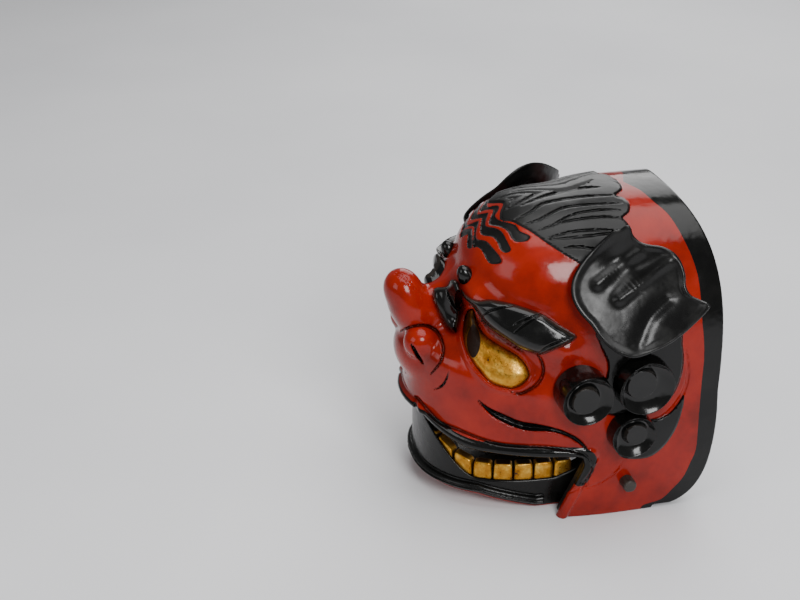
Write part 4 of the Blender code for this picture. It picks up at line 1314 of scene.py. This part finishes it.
def buildTeeth(name, node, body, path, base, tip, up, seed):
    block, blockFaces = roundedBlock()
    x, y, length = path
    draws = np.random.default_rng(seed)
    count = 2 * toothForm["perSide"]
    stops = np.linspace(0, length[-1], count + 1)
    plan = np.stack([np.interp(stops, length, x), np.interp(stops, length, y)], 1)
    points, faces, creases = [], [], []
    for k in range(count):
        a, b = plan[k], plan[k + 1]
        chord = b - a
        wide = np.linalg.norm(chord)
        chord = chord / wide
        out = np.array([chord[1], -chord[0]])
        halfWide = wide / 2 * (1 - toothForm["gapShare"] * draws.uniform(0.5, 1.6))
        spots = block * (1 + 0.02 * draws.standard_normal(3))
        spots = np.clip(spots, -1, 1)
        climb = spots[:, 2] * up  # -1 at the root, 1 at the biting edge
        across = spots[:, 0] * halfWide * (1 - 0.05 * climb)
        depth = spots[:, 1] * toothForm["halfDepth"]
        place = (a + b) / 2 + across[:, None] * chord + depth[:, None] * out
        share = 0.5 + across / wide
        foot = base(a[1]) * (1 - share) + base(b[1]) * share - up * toothForm["root"]
        edge = tip(a[1]) * (1 - share) + tip(b[1]) * share
        z = foot + (edge - foot) * (climb + 1) / 2
        start = sum(len(rows) for rows in points)
        points.append(np.column_stack([place, z]))
        faces += [tuple(i + start for i in face)[::up] for face in blockFaces]
        # the biting face keeps little gold, worn off, and the sides towards the gaps are darkened as painted
        # shade between the teeth
        bite = (climb - 0.86) * 6
        creases.append(np.clip(np.maximum(bite, (np.abs(spots[:, 0]) - 0.88) * 6), 0, 1))
    creases = np.concatenate(creases)
    makePiece(name, np.vstack(points), faces, toothGold, body, node, "gold_leaf", None, {"crease": creases})
    print(name, len(faces) * 2, "triangles")


def buildPegs():
    sides = 48
    inner = jawForm["halfWidth"] - jawForm["wall"] - 0.004
    outer = headForm["halfWidth"] + 0.018
    profile = [(inner, 0.0), (inner, 0.0082), (outer - 0.0055, 0.0083), (outer - 0.0015, 0.0081),
               (outer - 0.0004, 0.0074), (outer, 0.0060), (outer, 0.0)]
    points, faces = [], []
    for x, radius in profile:
        for k in range(sides):
            turn = 2 * math.pi * k / sides
            flat = 1 - 0.015 * math.cos(5 * turn + 1)
            points.append((x, jawForm["pivotY"] + radius * flat * math.cos(turn),
                           jawForm["pivotZ"] + radius * flat * math.sin(turn)))
    for ring in range(len(profile) - 1):
        for k in range(sides):
            a, b = ring * sides + k, ring * sides + (k + 1) % sides
            faces.append((a, b, b + sides, a + sides))
    makePair("jawPeg", np.array(points), np.array(faces), peg, "jaw_peg", "peg_wood")


buildShell()
for name in raisedForms:
    buildRaised(name)
buildBeads()
buildCurls()
buildEars()
buildJaw()
upperArch = archPath(
    headForm["muzzleHalfWidth"] - toothForm["upperInset"], headForm["muzzleStartY"],
    headForm["muzzleReach"] - toothForm["upperInset"], headForm["muzzlePlanPower"], headForm["mouthRearY"])
lowerArch = archPath(
    jawForm["halfWidth"] - toothForm["inset"], jawForm["startY"], jawForm["reach"] - toothForm["inset"],
    jawForm["planPower"], toothForm["lowerRearY"])
buildTeeth("upperTeeth", "upper_teeth", "head", upperArch, lipHeight, upperTip, -1, 3)
buildTeeth("lowerTeeth", "lower_teeth", "jaw", lowerArch, jawTop, lowerTip, 1, 5)
buildPegs()

# Stage: a pale sheet, soft light from above and from the right of the camera
floorMesh = bpy.data.meshes.new("paleSheet")
floorMesh.from_pydata([(-8, -8, 0), (8, -8, 0), (8, 8, 0), (-8, 8, 0)], [], [(0, 1, 2, 3)])
floorMesh.materials.append(sheetCloth())
floor = bpy.data.objects.new("paleSheet", floorMesh)
bpy.context.scene.collection.objects.link(floor)

lighting = {
    "overhead": {"place": (0.1, 0.4, 2.6), "target": (0.0, 0.0, 0.2), "size": 2.2, "power": 56.0},
    "windowWall": {"place": (-2.6, 1.3, 1.9), "target": (0.0, 0.0, 0.2), "size": 2.2, "power": 44.0},
    "windowLeft": {"place": (2.45, 0.30, 1.95), "target": (0.0, 0.0, 0.25), "size": 1.1, "power": 60.0},
    "cameraSoft": {"place": (1.0, -2.4, 1.4), "target": (0.0, 0.0, 0.15), "size": 1.2, "power": 12.0},
}
for name, lamp in lighting.items():
    light = bpy.data.lights.new(name, "AREA")
    light.shape = "SQUARE"
    light.size = lamp["size"]
    light.energy = lamp["power"]
    holder = bpy.data.objects.new(name, light)
    holder.location = lamp["place"]
    aim = Vector(lamp["target"]) - Vector(lamp["place"])
    holder.rotation_euler = aim.to_track_quat("-Z", "Y").to_euler()
    bpy.context.scene.collection.objects.link(holder)

world = bpy.data.worlds.new("studio")
world.use_nodes = True
world.node_tree.nodes["Background"].inputs["Color"].default_value = linear("#D2D3D4")
world.node_tree.nodes["Background"].inputs["Strength"].default_value = 0.34
bpy.context.scene.world = world

camera = bpy.data.cameras.new("photoCamera")
camera.sensor_width = photoView["sensor"]
camera.lens = photoView["focal"] / photoView["width"] * photoView["sensor"]
viewer = bpy.data.objects.new("photoCamera", camera)
viewer.location = Vector(photoView["place"]) + Vector((0, shiftY, 0))
viewer.rotation_euler = Vector(tuple(-camBack)).to_track_quat("-Z", "Y").to_euler()
bpy.context.scene.collection.objects.link(viewer)
bpy.context.scene.camera = viewer
